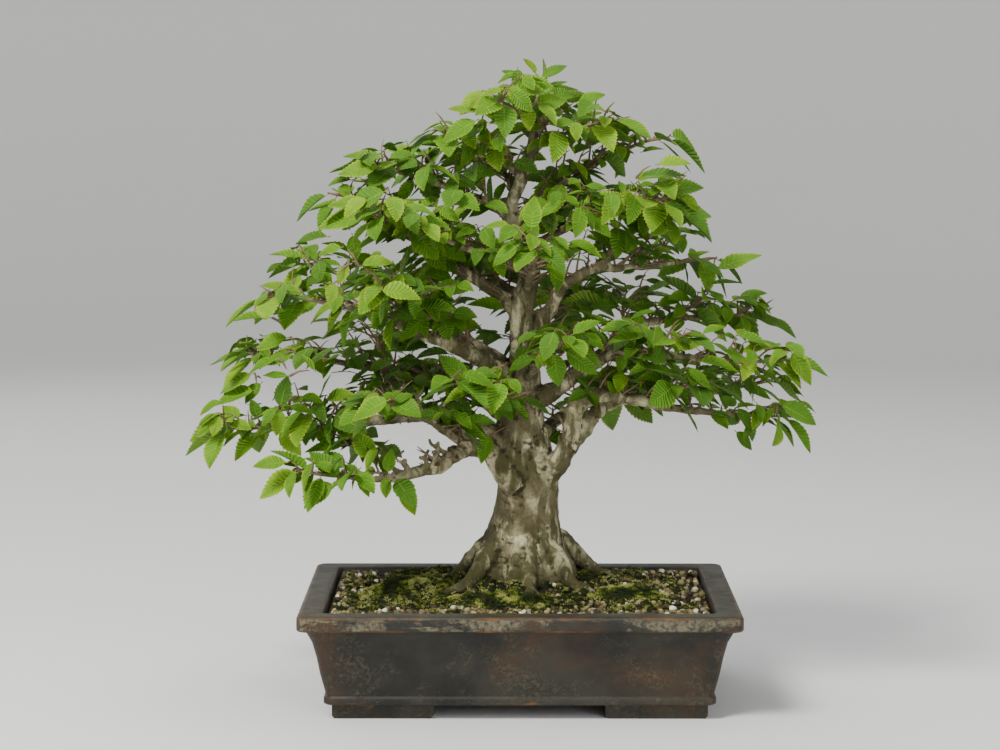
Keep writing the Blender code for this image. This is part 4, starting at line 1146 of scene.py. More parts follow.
@dataclass(frozen=True)
class PotFinish:
    """Dark unglazed clay with rust along its edges and cream deposits."""

    clay: tuple = (0.0085, 0.0079, 0.0053)
    worn: tuple = (0.025, 0.0236, 0.0158)
    cream: tuple = (0.19, 0.170, 0.105)
    rust: tuple = (0.085, 0.032, 0.008)
    orange: tuple = (0.23, 0.100, 0.012)
    brown: tuple = (0.048, 0.024, 0.0095)
    film: tuple = (0.052, 0.053, 0.033)

    def material(self) -> Material:
        """Dark grey-green clay, brown clouds, cream crust in patches, broken rust on edges and feet.

        Returns:
            The material.
        """
        g = Graph("pot")
        cloud = g.noise(16.0, 6.0, 0.62, 0.3)
        colour = g.blend(g.window(cloud, 0.36, 0.66), self.clay, self.worn)
        warm = g.noise(10.0, 6.0, 0.68, 0.6)
        colour = g.blend(g.times(g.window(warm, 0.46, 0.66), 0.80), colour, self.brown)
        patch = g.window(g.noise(19.0, 6.0, 0.72, 0.5), 0.47, 0.62)
        grain = g.window(g.noise(330.0, 6.0, 0.80), 0.46, 0.62)
        crust = g.times(patch, grain)
        colour = g.blend(g.times(crust, 0.34), colour, self.cream)
        face = g.noise(17.0, 6.0, 0.72, 0.3, g.scaled((1.0, 1.0, 3.0)))
        shell = g.times(g.value("face"), g.window(face, 0.47, 0.56))
        shell = g.times(shell, g.window(g.noise(240.0, 6.0, 0.8), 0.36, 0.58))
        colour = g.blend(g.times(shell, 0.70), colour, self.cream)
        edge = g.value("edge")
        broken = g.noise(58.0, 6.0, 0.75, 0.6)
        large = g.window(g.noise(12.0, 3.0, 0.6), 0.36, 0.60)
        rust = g.plus(g.times(edge, 0.40), g.times(broken, 0.85))
        rust = g.window(g.plus(rust, g.times(large, 0.16)), 0.82, 1.00)
        tone = g.blend(g.window(g.noise(24.0, 5.0, 0.7), 0.52, 0.68), self.rust, self.orange)
        colour = g.blend(g.times(rust, 0.80), colour, tone)
        film = g.times(g.value("rim"), g.window(g.noise(28.0, 5.0, 0.7), 0.30, 0.62))
        colour = g.blend(g.times(film, 0.60), colour, self.film)
        shine = g.plus(0.34, g.times(g.noise(70.0, 4.0, 0.6), 0.26))
        rough = g.plus(shine, g.times(g.maths("MAXIMUM", crust, shell), 0.28))
        relief = g.plus(g.times(g.maths("MAXIMUM", crust, shell), 0.7),
                         g.plus(g.noise(540.0, 5.0, 0.6), g.times(g.noise(60.0, 3.0), 1.4)))
        return g.surface(Base_Color=colour, Roughness=rough, Specular_IOR_Level=0.33,
                         Normal=g.bump(relief, 0.0007, 0.7))


@dataclass(frozen=True)
class GritFinish:
    """Washed grit: cream, tan, ochre, grey and a few white grains."""

    grains: tuple = (
        (0.0, (0.018, 0.013, 0.005)), (0.30, (0.052, 0.036, 0.012)), (0.52, (0.145, 0.112, 0.038)),
        (0.70, (0.36, 0.30, 0.135)), (0.82, (0.115, 0.100, 0.052)), (1.0, (0.85, 0.83, 0.62)),
    )
    pit: tuple = (0.09, 0.065, 0.035)

    def material(self) -> Material:
        """A colour for each grain, with darker pits.

        Returns:
            The material.
        """
        g = Graph("grit")
        colour = g.ramp(g.value("grain"), self.grains)
        pit = g.window(g.noise(620.0, 4.0, 0.65), 0.50, 0.70)
        colour = g.blend(g.times(pit, 0.45), colour, self.pit)
        return g.surface(Base_Color=colour, Roughness=0.78, Specular_IOR_Level=0.35,
                         Normal=g.bump(g.noise(1500.0, 4.0), 0.0004, 0.7))


@dataclass(frozen=True)
class SoilFinish:
    """Dark damp humus between the grains."""

    crumbs: tuple = (
        (0.30, (0.006, 0.0045, 0.003)), (0.55, (0.024, 0.016, 0.008)), (0.75, (0.085, 0.060, 0.030)),
    )

    def material(self) -> Material:
        """Near black crumb with brown specks.

        Returns:
            The material.
        """
        g = Graph("soil")
        crumb = g.noise(420.0, 6.0, 0.7)
        colour = g.ramp(crumb, self.crumbs)
        return g.surface(Base_Color=colour, Roughness=0.92, Specular_IOR_Level=0.25,
                         Normal=g.bump(crumb, 0.0016, 0.9))


@dataclass(frozen=True)
class MossFinish:
    """Tufted moss: dark green at its foot, partly its older stems and partly painted shade, yellow-green at
    its tips.
    """

    tones: tuple = (
        (0.0, (0.011, 0.018, 0.002)), (0.45, (0.044, 0.068, 0.005)), (0.74, (0.26, 0.32, 0.018)),
        (1.0, (0.56, 0.58, 0.17)),
    )
    # Near black at the sprigs' feet and on the bodies under them: partly older stems, partly painted shade
    foot: tuple = (0.006, 0.008, 0.002)
    brown: tuple = (0.085, 0.060, 0.022)

    def material(self) -> Material:
        """Colour by tuft and by height in the tuft, darker towards the foot, partly older stems and partly
        painted shade.

        Returns:
            The material.
        """
        g = Graph("moss")
        tone = g.ramp(g.value("tuft"), self.tones)
        # Partly older stems, partly painted shade: darker towards each sprig's foot
        dark = g.blend(0.86, tone, self.foot)
        colour = g.blend(g.window(g.value("tip"), 0.05, 0.85), dark, tone)
        brown = g.window(g.noise(75.0, 3.0), 0.60, 0.72)
        colour = g.blend(g.times(brown, 0.55), colour, self.brown)
        return g.surface(through=0.12, through_colour=colour, Base_Color=colour, Roughness=0.80,
                         Specular_IOR_Level=0.25, Normal=g.bump(g.noise(900.0, 3.0), 0.0006, 0.8))


@dataclass(frozen=True)
class MeshFinish:
    """Black plastic drain mesh."""

    plastic: tuple = (0.012, 0.012, 0.013)
    dust: tuple = (0.045, 0.040, 0.034)

    def material(self) -> Material:
        """Near black, with a fine moulded grain.

        Returns:
            The material.
        """
        g = Graph("drain_mesh")
        grain = g.noise(2600.0, 3.0)
        colour = g.blend(g.window(g.noise(180.0, 3.0), 0.45, 0.75), self.plastic, self.dust)
        return g.surface(Base_Color=colour, Roughness=0.48, Specular_IOR_Level=0.5,
                         Normal=g.bump(grain, 0.0001, 0.5))


@dataclass(frozen=True)
class FloorFinish:
    """The studio's plain pale floor."""

    colour: tuple = (0.78, 0.78, 0.77)

    def material(self) -> Material:
        """Matt, with no pattern that shows."""
        g = Graph("studio_floor")
        return g.surface(Base_Color=self.colour, Roughness=0.85, Specular_IOR_Level=0.2)


class Soup:
    """Points and faces gathered for one piece, with values kept for each point."""

    def __init__(self, *values: str) -> None:
        """Starts empty, with the names of the values that every point has.

        Args:
            values: the names of the values.
        """
        self.points: list[np.ndarray] = []
        self.faces: list[tuple] = []
        self.finishes: list[int] = []
        self.maps: list[np.ndarray] = []
        self.values: dict[str, list[np.ndarray]] = {name: [] for name in values}
        self.count = 0

    def add(self, points: Sequence, faces: Sequence, finish: object = 0,
            places: Optional[np.ndarray] = None, **values: object) -> None:
        """Adds one shape.

        Args:
            points: its points.
            faces: its faces, counted from its own first point.
            finish: the number of its material in the piece, or one for each face.
            places: where each point is on the piece's own map.
            values: a number, or one for each point, for each of the named values.
        """
        points = np.asarray(points, float)
        first = self.count
        self.points.append(points)
        self.faces += [tuple(int(first + k) for k in face) for face in faces]
        self.finishes += [finish] * len(faces) if isinstance(finish, int) else finish
        self.maps.append(np.zeros((len(points), 2)) if places is None else places)
        for name, kept in self.values.items():
            kept.append(np.broadcast_to(np.asarray(values.get(name, 0.0), float), len(points)))
        self.count += len(points)

    def build(self, name: str, materials: Sequence[Material]) -> Object:
        """The piece as one mesh object, shaded smooth.

        Args:
            name: the piece's name.
            materials: its materials, in the order of their numbers.

        Returns:
            The piece.
        """
        mesh = bpy.data.meshes.new(name)
        points = np.vstack(self.points)
        mesh.from_pydata(points.tolist(), [], self.faces)
        for finish in materials:
            mesh.materials.append(finish)
        mesh.polygons.foreach_set("material_index", self.finishes)
        for key, kept in self.values.items():
            layer = mesh.attributes.new(key, "FLOAT", "POINT")
            layer.data.foreach_set("value", np.concatenate(kept).astype(np.float32))
        corner = np.zeros(len(mesh.loops), np.int32)
        mesh.loops.foreach_get("vertex_index", corner)
        layer = mesh.uv_layers.new(name=LEAF_MAP)
        layer.data.foreach_set("uv", np.vstack(self.maps)[corner].astype(np.float32).ravel())
        mesh.shade_smooth()
        obj = bpy.data.objects.new(name, mesh)
        bpy.context.scene.collection.objects.link(obj)
        return obj


@dataclass
class BladeCutter:
    """Cuts toothed hornbeam blades as thin closed solids that are sharp along their rims."""

    teeth: int = 11
    ribs: tuple = (0.07, 0.25, 0.46, 0.68, 0.88)
    stalk: float = 0.10
    slant: float = 0.19
    keel: float = 0.010
    tooth_out: float = 0.021
    tooth_ahead: float = 0.020
    notch: float = 0.012
    stalk_radius: float = 0.00046
    # The rim's curve: its powers at the foot and at the tip, and its value where it is widest
    foot_curve: float = 0.72
    tip_curve: float = 1.10
    fullest: float = 0.293

    def __post_init__(self) -> None:
        """Works out the pattern that every blade is bent from."""
        spine = [(s, 0.0, s, 0.5) for s in (0.0, *self.ribs, 1.0)]
        side = []
        for k in range(1, self.teeth + 2):
            side.append(self.rim_point((k - 0.60) / (self.teeth + 1), -self.notch, 0.0))
            if k <= self.teeth:
                side.append(self.rim_point(k / (self.teeth + 1), self.tooth_out, self.tooth_ahead))
        left = [(s, -w, run, 0.0) for s, w, run in side]
        right = [(s, w, run, 1.0) for s, w, run in side]
        self.table = np.array(spine + spine[1:-1] + left + right)
        last = len(self.ribs) + 1
        top = list(range(last + 1))
        low = [0] + [last + k for k in range(1, last)] + [last]
        first = 2 * last
        count = len(side)
        left_rim = [0] + [first + k for k in range(count)] + [last]
        right_rim = [0] + [first + count + k for k in range(count)] + [last]
        self.low = low[1:-1]
        self.faces = self.span(top, left_rim, False) + self.span(top, right_rim, True)
        self.top_faces = len(self.faces)
        self.faces += self.span(low, left_rim, True) + self.span(low, right_rim, False)

    def rim_point(self, run: float, out: float, ahead: float) -> tuple[float, float, float]:
        """A point of the rim: share of the blade's length, half width, and the vein that ends there.

        Args:
            run: which vein, from 0 at the stalk to 1 at the tip.
            out: how far out of the smooth rim.
            ahead: how far towards the tip.

        Returns:
            The share, the half width and the vein.
        """
        margin = run + self.slant * math.sin(math.pi * run)
        half = 0.5 * BLADE_WIDTH * margin ** self.foot_curve
        half = half * max(0.0, 1 - margin) ** self.tip_curve / self.fullest
        swell = math.sin(math.pi * run) ** 0.5
        return margin + ahead * swell, half + out * swell, run

    def span(self, spine: list, rim: list, turn: bool) -> list[tuple]:
        """Triangles between the spine and one rim, each with an inner point of the spine.

        Args:
            spine: the numbers of the spine's points.
            rim: the numbers of the rim's points.
            turn: True to face the other way.

        Returns:
            The triangles.
        """
        faces = []
        i, j = 0, 1
        while j < len(rim) - 1 or i < len(spine) - 2:
            ahead = self.table[rim[min(j + 1, len(rim) - 1)], 2] <= self.table[spine[i + 1], 2]
            on_rim = i == len(spine) - 2 or (i > 0 and ahead)
            face = (spine[i], rim[j], rim[j + 1]) if on_rim else (spine[i], rim[j], spine[i + 1])
            i, j = (i, j + 1) if on_rim else (i + 1, j)
            faces.append(face[::-1] if turn else face)
        return faces

    def cut(self, soup: Soup, leaf: Leaf, draw: Random, age: float, burn: float, bent: float) -> None:
        """Adds one blade on its stalk.

        Args:
            soup: the piece that it goes into.
            leaf: where it is and how long.
            draw: the source of its own small differences.
            age: 0 for a young yellow-green blade, 1 for an old one.
            burn: how far its tip and rim are scorched.
            bent: how strongly it arches, as the solid's arch times this.
        """
        at, wide, run, over = self.table.T
        share = self.stalk + (1 - self.stalk) * at
        fold = math.radians(draw.uniform(4, 26))
        twist = math.radians(draw.uniform(-20, 20))
        ruffle = draw.uniform(0.004, 0.016)
        phase = draw.uniform(0, 2 * math.pi)
        slim = draw.uniform(0.86, 1.02)
        across = wide * slim * math.cos(fold)
        high = np.abs(wide) * math.sin(fold)
        high = high + ruffle * (np.abs(wide) / 0.28) * np.sin(11 * share + phase + 2 * np.sign(wide))
        high[self.low] -= self.keel
        angle = twist * share
        y = across * np.cos(angle) - high * np.sin(angle)
        z = across * np.sin(angle) + high * np.cos(angle)
        z = z - BLADE_ARCH * bent * share ** 2
        beside = np.cross(leaf.normal, leaf.heading)
        points = (leaf.start + np.outer(share, leaf.heading) * leaf.length
                  + np.outer(y, beside) * leaf.length + np.outer(z, leaf.normal) * leaf.length)
        finish = [0] * self.top_faces + [1] * (len(self.faces) - self.top_faces)
        soup.add(points, self.faces, finish, np.column_stack([run, over]), age=age, burn=burn)
        shares = np.array([0.0, 0.5 * self.stalk, self.stalk + 0.03])
        line = (leaf.start + np.outer(shares, leaf.heading) * leaf.length
                - np.outer(BLADE_ARCH * bent * shares ** 2 + 0.5 * self.keel, leaf.normal) * leaf.length)
        radii = (1.25 * self.stalk_radius, self.stalk_radius, 0.7 * self.stalk_radius)
        soup.add(*tube(line, radii, 3), 2, young=np.repeat([0.55, 0.85, 1.0], 3))


# The crown's outline from the front as (height, left, right) in millimetres, which no added leaf passes
CROWN_OUTLINE = (
    (150, -190, -85), (168, -200, -55), (190, -225, 205), (219, -262, 215), (232, -300, 245),
    (246, -294, 263), (273, -274, 262), (299, -264, 260), (326, -244, 240), (353, -236, 217),
    (379, -214, 190), (392, -209, 172), (419, -187, 157), (445, -163, 155), (472, -158, 132),
    (485, -140, 114), (498, -92, 112), (511, -70, 96), (524, -61, 71), (537, -38, 60), (552, -14, 40),
    (566, 0, 34),
)
# The crown's lower edge from the front as (x, height) in millimetres
CROWN_HEM = (
    (-299, 223), (-256, 208), (-238, 201), (-222, 185), (-193, 167), (-155, 181), (-120, 174), (-93, 158),
    (-80, 192), (-35, 199), (-17, 228), (40, 223), (63, 237), (80, 262), (151, 257), (165, 232), (191, 228),
    (209, 219), (218, 237), (249, 241), (267, 244),
)
# Places where trunk and limbs show from the front, as (x, height, half length, half height) in millimetres
OPEN_PLACES = (
    (-106, 282, 63, 11), (-71, 201, 39, 14), (116, 253, 55, 14), (3, 362, 19, 30), (55, 368, 23, 14),
    (11, 223, 21, 26), (-51, 307, 30, 12), (32, 259, 12, 23), (-97, 241, 23, 7), (142, 331, 30, 6),
    (49, 295, 26, 7), (-74, 226, 25, 14),
)
# The leaves that stand out from the front, as foot (x, height) and tip (x, height) in millimetres, and
# how far each faces the front in hundredths
SHOWN_LEAVES = (
    (10, 541, -15, 557, 50), (15, 550, 4, 566, 50), (17, 547, 40, 561, 45), (19, 534, 51, 541, 45),
    (49, 525, 74, 536, 55), (-14, 539, -35, 533, 50), (-35, 518, -62, 524, 35), (-9, 537, 12, 519, 90),
    (-36, 512, -69, 495, 60), (-67, 487, -92, 492, 40), (-119, 478, -155, 483, 45),
    (-121, 471, -161, 467, 60), (-146, 459, -169, 456, 35), (-116, 450, -153, 433, 70),
    (-155, 437, -187, 435, 30), (107, 500, 155, 498, 35), (102, 460, 146, 467, 45),
    (121, 449, 161, 456, 55), (139, 446, 160, 432, 60), (52, 430, 88, 450, 70), (57, 430, 82, 410, 70),
    (10, 413, 13, 445, 90), (0, 402, -25, 385, 60), (171, 379, 212, 397, 50), (192, 355, 218, 362, 35),
    (239, 309, 260, 278, 70), (229, 261, 265, 245, 55), (191, 237, 208, 220, 60), (130, 314, 161, 315, 85),
    (156, 299, 194, 293, 40), (147, 293, 172, 275, 60), (-185, 388, -221, 397, 45),
    (-199, 363, -228, 369, 35), (-219, 337, -254, 338, 45), (-174, 355, -208, 337, 65),
    (-238, 305, -266, 284, 60), (-246, 246, -295, 229, 90), (-229, 236, -255, 212, 50),
    (-205, 208, -237, 208, 50), (-158, 193, -186, 219, 80), (-164, 191, -194, 168, 80),
    (-129, 209, -147, 237, 85), (-118, 197, -114, 220, 80), (-106, 191, -92, 160, 90),
    (-119, 196, -119, 175, 85), (-45, 279, -71, 305, 90), (-37, 276, -4, 256, 75), (-39, 276, -69, 263, 60),
    (-60, 250, -28, 234, 65), (16, 234, 47, 224, 55), (-114, 265, -151, 247, 70),
    (-115, 351, -144, 317, 85), (-125, 362, -87, 356, 80), (-82, 339, -109, 317, 70),
    (-57, 368, -85, 383, 60), (30, 308, 35, 275, 90), (38, 309, 71, 288, 85), (11, 321, 47, 327, 70),
    (-189, 307, -170, 287, 70), (91, 347, 62, 350, 50), (-167, 409, -196, 407, 40),
    (-154, 415, -178, 422, 40), (-148, 412, -144, 387, 80), (-142, 383, -112, 389, 45),
    (-183, 382, -203, 373, 50), (-155, 400, -178, 394, 60), (-150, 385, -162, 367, 80),
    (-120, 415, -138, 405, 60), (-176, 375, -195, 361, 60), (-163, 369, -169, 349, 70),
    (-203, 320, -234, 311, 60), (-198, 306, -227, 298, 60), (-235, 288, -268, 272, 50),
    (-233, 273, -272, 262, 55), (-228, 280, -245, 262, 60), (-213, 255, -206, 286, 80),
    (-211, 256, -217, 231, 80), (-214, 257, -231, 240, 60), (-206, 259, -182, 254, 60),
    (-195, 267, -173, 263, 50), (-214, 301, -242, 289, 50), (-204, 285, -228, 288, 50),
    (-181, 289, -194, 306, 50), (-232, 246, -238, 265, 70), (-264, 264, -285, 252, 40),
    (-92, 460, -108, 438, 80), (-79, 450, -94, 466, 50), (-11, 344, -46, 352, 60), (-22, 437, -46, 428, 60),
    (191, 322, 220, 315, 50), (195, 306, 221, 316, 50), (195, 277, 224, 267, 60), (160, 322, 182, 331, 50),
    (106, 483, 127, 488, 45), (119, 472, 150, 476, 50),
)
# Where the crown is seen from, in front of the pot's middle
EYE = (-0.0091, -2.4442, 0.5420)
# How thick and how much wider a blade counts while its place is sought, and how thick once it has one
SOUGHT_BLADE = (0.0012, 0.0002)
PLACED_BLADE = (0.0004, 0.0)
# How near an added blade, its shoot and a bare twig may come to other wood
BLADE_CLEAR = 0.0006
SHOWN_CLEAR = 0.0005
SHOOT_CLEAR = 0.0010
BARE_CLEAR = 0.0005
# How far under and inside the crown's outline a bare twig stays
HIDDEN_RISE = 0.024
HIDDEN_INSET = 0.020
# How far an added blade stays inside the solids' box
BOX_MARGIN = 0.0012
# What an added leaf tries in turn: (swing, dip in degrees, share of its length)
FIT_TRIES = (
    (0, 0, 1), (24, 10, 1), (-24, 10, 1), (8, -22, 0.9), (-10, 30, 0.9), (48, 0, 0.8), (-48, 0, 0.8),
    (0, 15, 0.65), (90, 0, 0.7), (-90, 0, 0.7),
)
# The teeth on each side and the ribs of a small blade
SMALL_TEETH = 8
SMALL_RIBS = (0.09, 0.40, 0.76)
# How far an open place reaches past its size, and how deep it is seen into
OPEN_MARGIN = 0.006
OPEN_DEPTH = 0.025
# The thickest limbs that a shown leaf and a leafy spur grow from
SHOWN_LIMB = 0.0085
SPUR_LIMB = 0.0095
# The radii of a shoot at its ends, of a shown leaf's twig, and of a bare fork
SHOOT_RADII = (0.0011, 0.00055)
SHOWN_RADII = (0.0012, 0.0009, 0.0006)
FORK_RADII = (0.0008, 0.0005)
# A bud's length, and its radius at foot, belly and tip
BUD_LENGTH = 0.0019
BUD_RADII = (0.0005, 0.00085, 0.0001)
# Blades look older near this place, and younger at this reach from it
OLD_MIDDLE = (0.0, 0.01, 0.30)
OLD_REACH = (0.27, 0.19, 0.25)
# How many blades are scorched: of the solids', of the shown and of the filling ones
BURNT_KEPT = 0.12
BURNT_SHOWN = 0.10
BURNT_FILLING = 0.06
# What a shown leaf tries in turn: how far behind the wood that it grows from
SHOWN_SHIFTS = (-0.006, -0.013, 0.003, -0.021, 0.012, -0.030, 0.022)
# Growth above this height stands closer
DENSE_HEIGHT = 0.42


@dataclass
class Foliage:
    """Every spray's twigs and leaves, with the finer growth that the solids leave out."""

    growth: Growth
    box: tuple
    twiglet_step: float = 0.0080
    twiglet_length: tuple = (0.009, 0.032)
    spur_step: float = 0.0100
    spur_length: tuple = (0.010, 0.044)
    blade_step: float = 0.0085
    fill_blade: tuple = (0.015, 0.041, 0.025)
    bare_step: float = 0.0120

    def __post_init__(self) -> None:
        """Starts each spray with what its solid has."""
        self.cutter = BladeCutter()
        self.small_cutter = BladeCutter(teeth=SMALL_TEETH, ribs=SMALL_RIBS)
        self.added: dict[str, list[Twig]] = {name: [] for name in self.growth.twigs}
        self.extra: dict[str, list[Leaf]] = {name: [] for name in self.growth.twigs}
        self.shown: dict[str, list[Leaf]] = {name: [] for name in self.growth.twigs}

    def inside(self, leaf: Leaf) -> bool:
        """True if the blade stays within the solids' box and the crown's outline.

        Args:
            leaf: the blade.

        Returns:
            True if it stays within.
        """
        across = np.cross(leaf.normal, leaf.heading)
        points = np.array([m + across * w * k for m, w in blade_rows(leaf) for k in (-1, 1)])
        low, high = self.box
        if not ((points > low + BOX_MARGIN).all() and (points < high - BOX_MARGIN).all()):
            return False
        levels, left, right = np.array(CROWN_OUTLINE).T / MILLIMETRES
        hem, lowest = np.array(CROWN_HEM).T / MILLIMETRES
        beside, _, height = self.seen(points).T
        outline = (beside > np.interp(height, levels, left)) & (beside < np.interp(height, levels, right))
        if not (outline & (height > np.interp(beside, hem, lowest))).all():
            return False
        x, z, wide, tall = np.array(OPEN_PLACES).T / MILLIMETRES
        middle = len(points) // 2
        wide, tall = wide + OPEN_MARGIN, tall + OPEN_MARGIN
        near = np.hypot((beside[middle] - x) / wide, (height[middle] - z) / tall)
        return bool(points[middle, 1] > OPEN_DEPTH or near.min() > 1)

    @staticmethod
    def seen(points: np.ndarray) -> np.ndarray:
        """Where points show in the upright plane through the pot's middle, seen from the front."""
        away = points[..., 1:2] - EYE[1]
        return EYE + (points - EYE) * (-EYE[1] / away)

    def fit_leaf(self, place: np.ndarray, way: np.ndarray, turn: float, size: float,
                 draw: Random) -> Optional[Leaf]:
        """The first of a few tries at a leaf that crosses no other blade and no thick wood.

        Args:
            place: the foot of its stalk.
            way: the shoot's heading there.
            turn: how far it turns off the shoot, in degrees.
            size: how long it would be.
            draw: the source of its small differences.

        Returns:
            The leaf, or None.
        """
        out = unit((place - np.array(CROWN_MIDDLE)) * (1, 1, 0) + (1e-6, 0, 0))
        flat = unit(way * (1, 1, 0) + 0.6 * out)
        droop = draw.uniform(-22, 24) + 50 * max(0.0, 0.35 - place[2])
        roll = draw.uniform(-24, 24)
        lean = draw.uniform(0.15, 0.80)
        for swing, dip, shorter in FIT_TRIES:
            heading = turned(flat, UP, turn + swing)
            fall = math.radians(droop + dip + 28 * max(0.0, -heading[1]))
            heading = unit(heading * math.cos(fall) - UP * math.sin(fall))
            normal = UP + out * lean
            normal = turned(unit(normal - heading * (normal @ heading)), heading, roll)
            length = size * shorter
            leaf = Leaf(place, heading, normal, length, length * BLADE_WIDTH)
            if not self.inside(leaf):
                continue
            if self.growth.thicket.room([m for m, _ in blade_rows(leaf)[2:]]) < BLADE_CLEAR:
                continue
            if not self.growth.thicket.crosses(*blade_solid(leaf, *SOUGHT_BLADE), ("twiglet",)):
                return leaf
        return None

    def crooked(self, place: np.ndarray, way: np.ndarray, length: float, draw: Random) -> np.ndarray:
        """A short crooked line that levels out.

        Args:
            place: where it starts.
            way: which way it leaves the wood.
            length: how long it is.
            draw: the source of its small differences.

        Returns:
            Its four points.
        """
        line = [place]
        heading = way
        for step in range(3):
            level = UP * (draw.uniform(-0.1, 0.3) - 0.25 * step * heading[2])
            heading = unit(turned(heading, UP, draw.uniform(-28, 28)) + level)
            line.append(line[-1] + heading * length / 3)
        return np.array(line)

    def shoot(self, name: str, place: np.ndarray, way: np.ndarray, length: float, draw: Random) -> None:
        """Adds a shoot with alternate blades to a spray, if at least one blade has room.

        Args:
            name: the spray that it belongs to.
            place: where it leaves the wood.
            way: how it leaves.
            length: how long it is.
            draw: the source of its small differences.
        """
        line = self.crooked(place, way, length, draw)
        if self.growth.thicket.room(line[2:]) < SHOOT_CLEAR:
            return
        found = []
        side = draw.choice((-1, 1))
        blades = 1 + round(length / self.blade_step)
        for k in range(blades):
            share = 1.0 - k / blades
            spot, heading = along(line, share)
            turn = draw.uniform(-16, 16) + (0 if share == 1.0 else side * draw.uniform(45, 85))
            leaf = self.fit_leaf(spot, heading, turn, draw.triangular(*self.fill_blade), draw)
            side = -side
            if leaf is not None:
                found.append(leaf)
                self.growth.thicket.add_solid(*blade_solid(leaf, *PLACED_BLADE), "fill")
        if found:
            self.added[name].append(Twig(line, np.linspace(*SHOOT_RADII, len(line))))
            self.extra[name] += found

    def wood_spots(self) -> tuple[np.ndarray, list]:
        """Places on twigs and thin limbs that a shoot can leave from, with the spray that each is in.

        Returns:
            The places, and the spray of each.
        """
        spots, names = [], []
        for name, twigs in self.growth.twigs.items():
            for twig in twigs:
                spots += list(twig.line)
                names += [name] * len(twig.line)
        for limb in LIMBS:
            line = smooth_line(limb.route)
            for k, place in enumerate(line):
                if limb_radius(limb, k / len(line)) < SHOWN_LIMB:
                    spots.append(place)
                    names.append(limb.name + "_tip")
        return np.array(spots), names

    def add_shown(self) -> None:
        """Adds the leaves that stand out from the front, each on its own shoot from the nearest wood."""
        draw = Random("shown leaves")
        thicket = self.growth.thicket
        spots, names = self.wood_spots()
        for *ends, hundredths in SHOWN_LEAVES:
            x, z, tip_x, tip_z = (part / MILLIMETRES for part in ends)
            face = hundredths / 100
            seen = self.seen(spots)
            away = np.hypot(seen[:, 0] - x, seen[:, 2] - z) + 0.10 * (spots[:, 1] + 0.1)
            spot = spots[away.argmin()]
            name = names[away.argmin()]
            for shift in SHOWN_SHIFTS:
                leaf = self.facing(x, z, tip_x, tip_z, spot[1] + shift, face, draw)
                clear = thicket.room([middle for middle, _ in blade_rows(leaf)[2:]]) > SHOWN_CLEAR
                if clear and not thicket.crosses(*blade_solid(leaf, *SOUGHT_BLADE)):
                    bend = (spot + leaf.start) / 2 + np.array((0.0, 0.002, 0.003))
                    line = np.array([spot, bend, leaf.start])
                    self.added[name].append(Twig(line, np.array(SHOWN_RADII)))
                    spots, names = np.vstack([spots, line[1:]]), names + [name, name]
                    self.shown[name].append(leaf)
                    thicket.add_solid(*blade_solid(leaf, *PLACED_BLADE), "fill")
                    break

    def facing(self, x: float, z: float, tip_x: float, tip_z: float, depth: float, face: float,
               draw: Random) -> Leaf:
        """A leaf that shows from that foot to that tip, at a depth, turned to the front by a share.

        Args:
            x: where its foot shows, to the right.
            z: where its foot shows, in height.
            tip_x: where its tip shows, to the right.
            tip_z: where its tip shows, in height.
            depth: how far behind the pot's middle it stands.
            face: how far it faces the front, from 0 to 1.
            draw: the source of its small differences.

        Returns:
            The leaf.
        """
        eye = np.array(EYE)
        out = (depth - EYE[1]) / -EYE[1]
        foot, tip = (eye + (np.array((px, 0.0, pz)) - eye) * out for px, pz in ((x, z), (tip_x, tip_z)))
        way = tip - foot
        way[1] -= draw.uniform(0.0, 0.45) * (1 - face) * np.linalg.norm(way)
        heading = unit(way)
        normal = UP * math.sqrt(1 - face * face) + unit(eye - foot) * face
        normal = unit(normal - heading * (normal @ heading))
        length = float(np.linalg.norm(way))
        return Leaf(foot, heading, normal, length, length * BLADE_WIDTH)

    def fill_sprays(self) -> None:
        """Adds twiglets along each spray's own twigs."""
        for spray in self.growth.sprays:
            draw = Random(spray.name + " twiglets")
            for twig in self.growth.twigs[spray.name]:
                place, heading = along(twig.line, 1.0)
                self.shoot(spray.name, place, heading, 0.005, draw)
                reach = np.linalg.norm(np.diff(twig.line, axis=0), axis=1).sum()
                step = self.twiglet_step * (0.75 if place[2] > DENSE_HEIGHT else 1.0)
                count = max(1, round(reach / step))
                side = draw.choice((-1, 1))
                for k in range(count):
                    share = (k + draw.uniform(0.35, 0.65)) / count
                    place, heading = along(twig.line, share)
                    way = turned(heading, UP, side * draw.uniform(30, 80))
                    way = unit(way + UP * draw.uniform(-0.3, 1.3))
                    self.shoot(spray.name, place, way, draw.uniform(*self.twiglet_length), draw)
                    side = -side

    def limb_shoots(self, limb: Limb, step: float, first: float, draw: Random) -> Iterable[tuple]:
        """Places on a limb with a way to grow from each, past its first part.

        Args:
            limb: the limb.
            step: how far apart the places are.
            first: the bare share of the limb.
            draw: the source of its small differences.

        Yields:
            For each place: the place, the way and the limb's radius there.
        """
        line = smooth_line(limb.route)
        reach = np.linalg.norm(np.diff(line, axis=0), axis=1).sum()
        count = round(reach / (step * (0.72 if line[-1][2] > DENSE_HEIGHT else 1.0)))
        for k in range(count):
            share = (k + draw.uniform(0.2, 0.8)) / count
            place, heading = along(line, share)
            beside = unit(np.cross(UP, heading))
            lean = math.radians(draw.uniform(-10, 90))
            out = beside * draw.choice((-1, 1)) * math.cos(lean) + UP * math.sin(lean)
            way = unit(out + heading * draw.uniform(-0.1, 0.8))
            if share > first:
                yield place, way, limb_radius(limb, share)

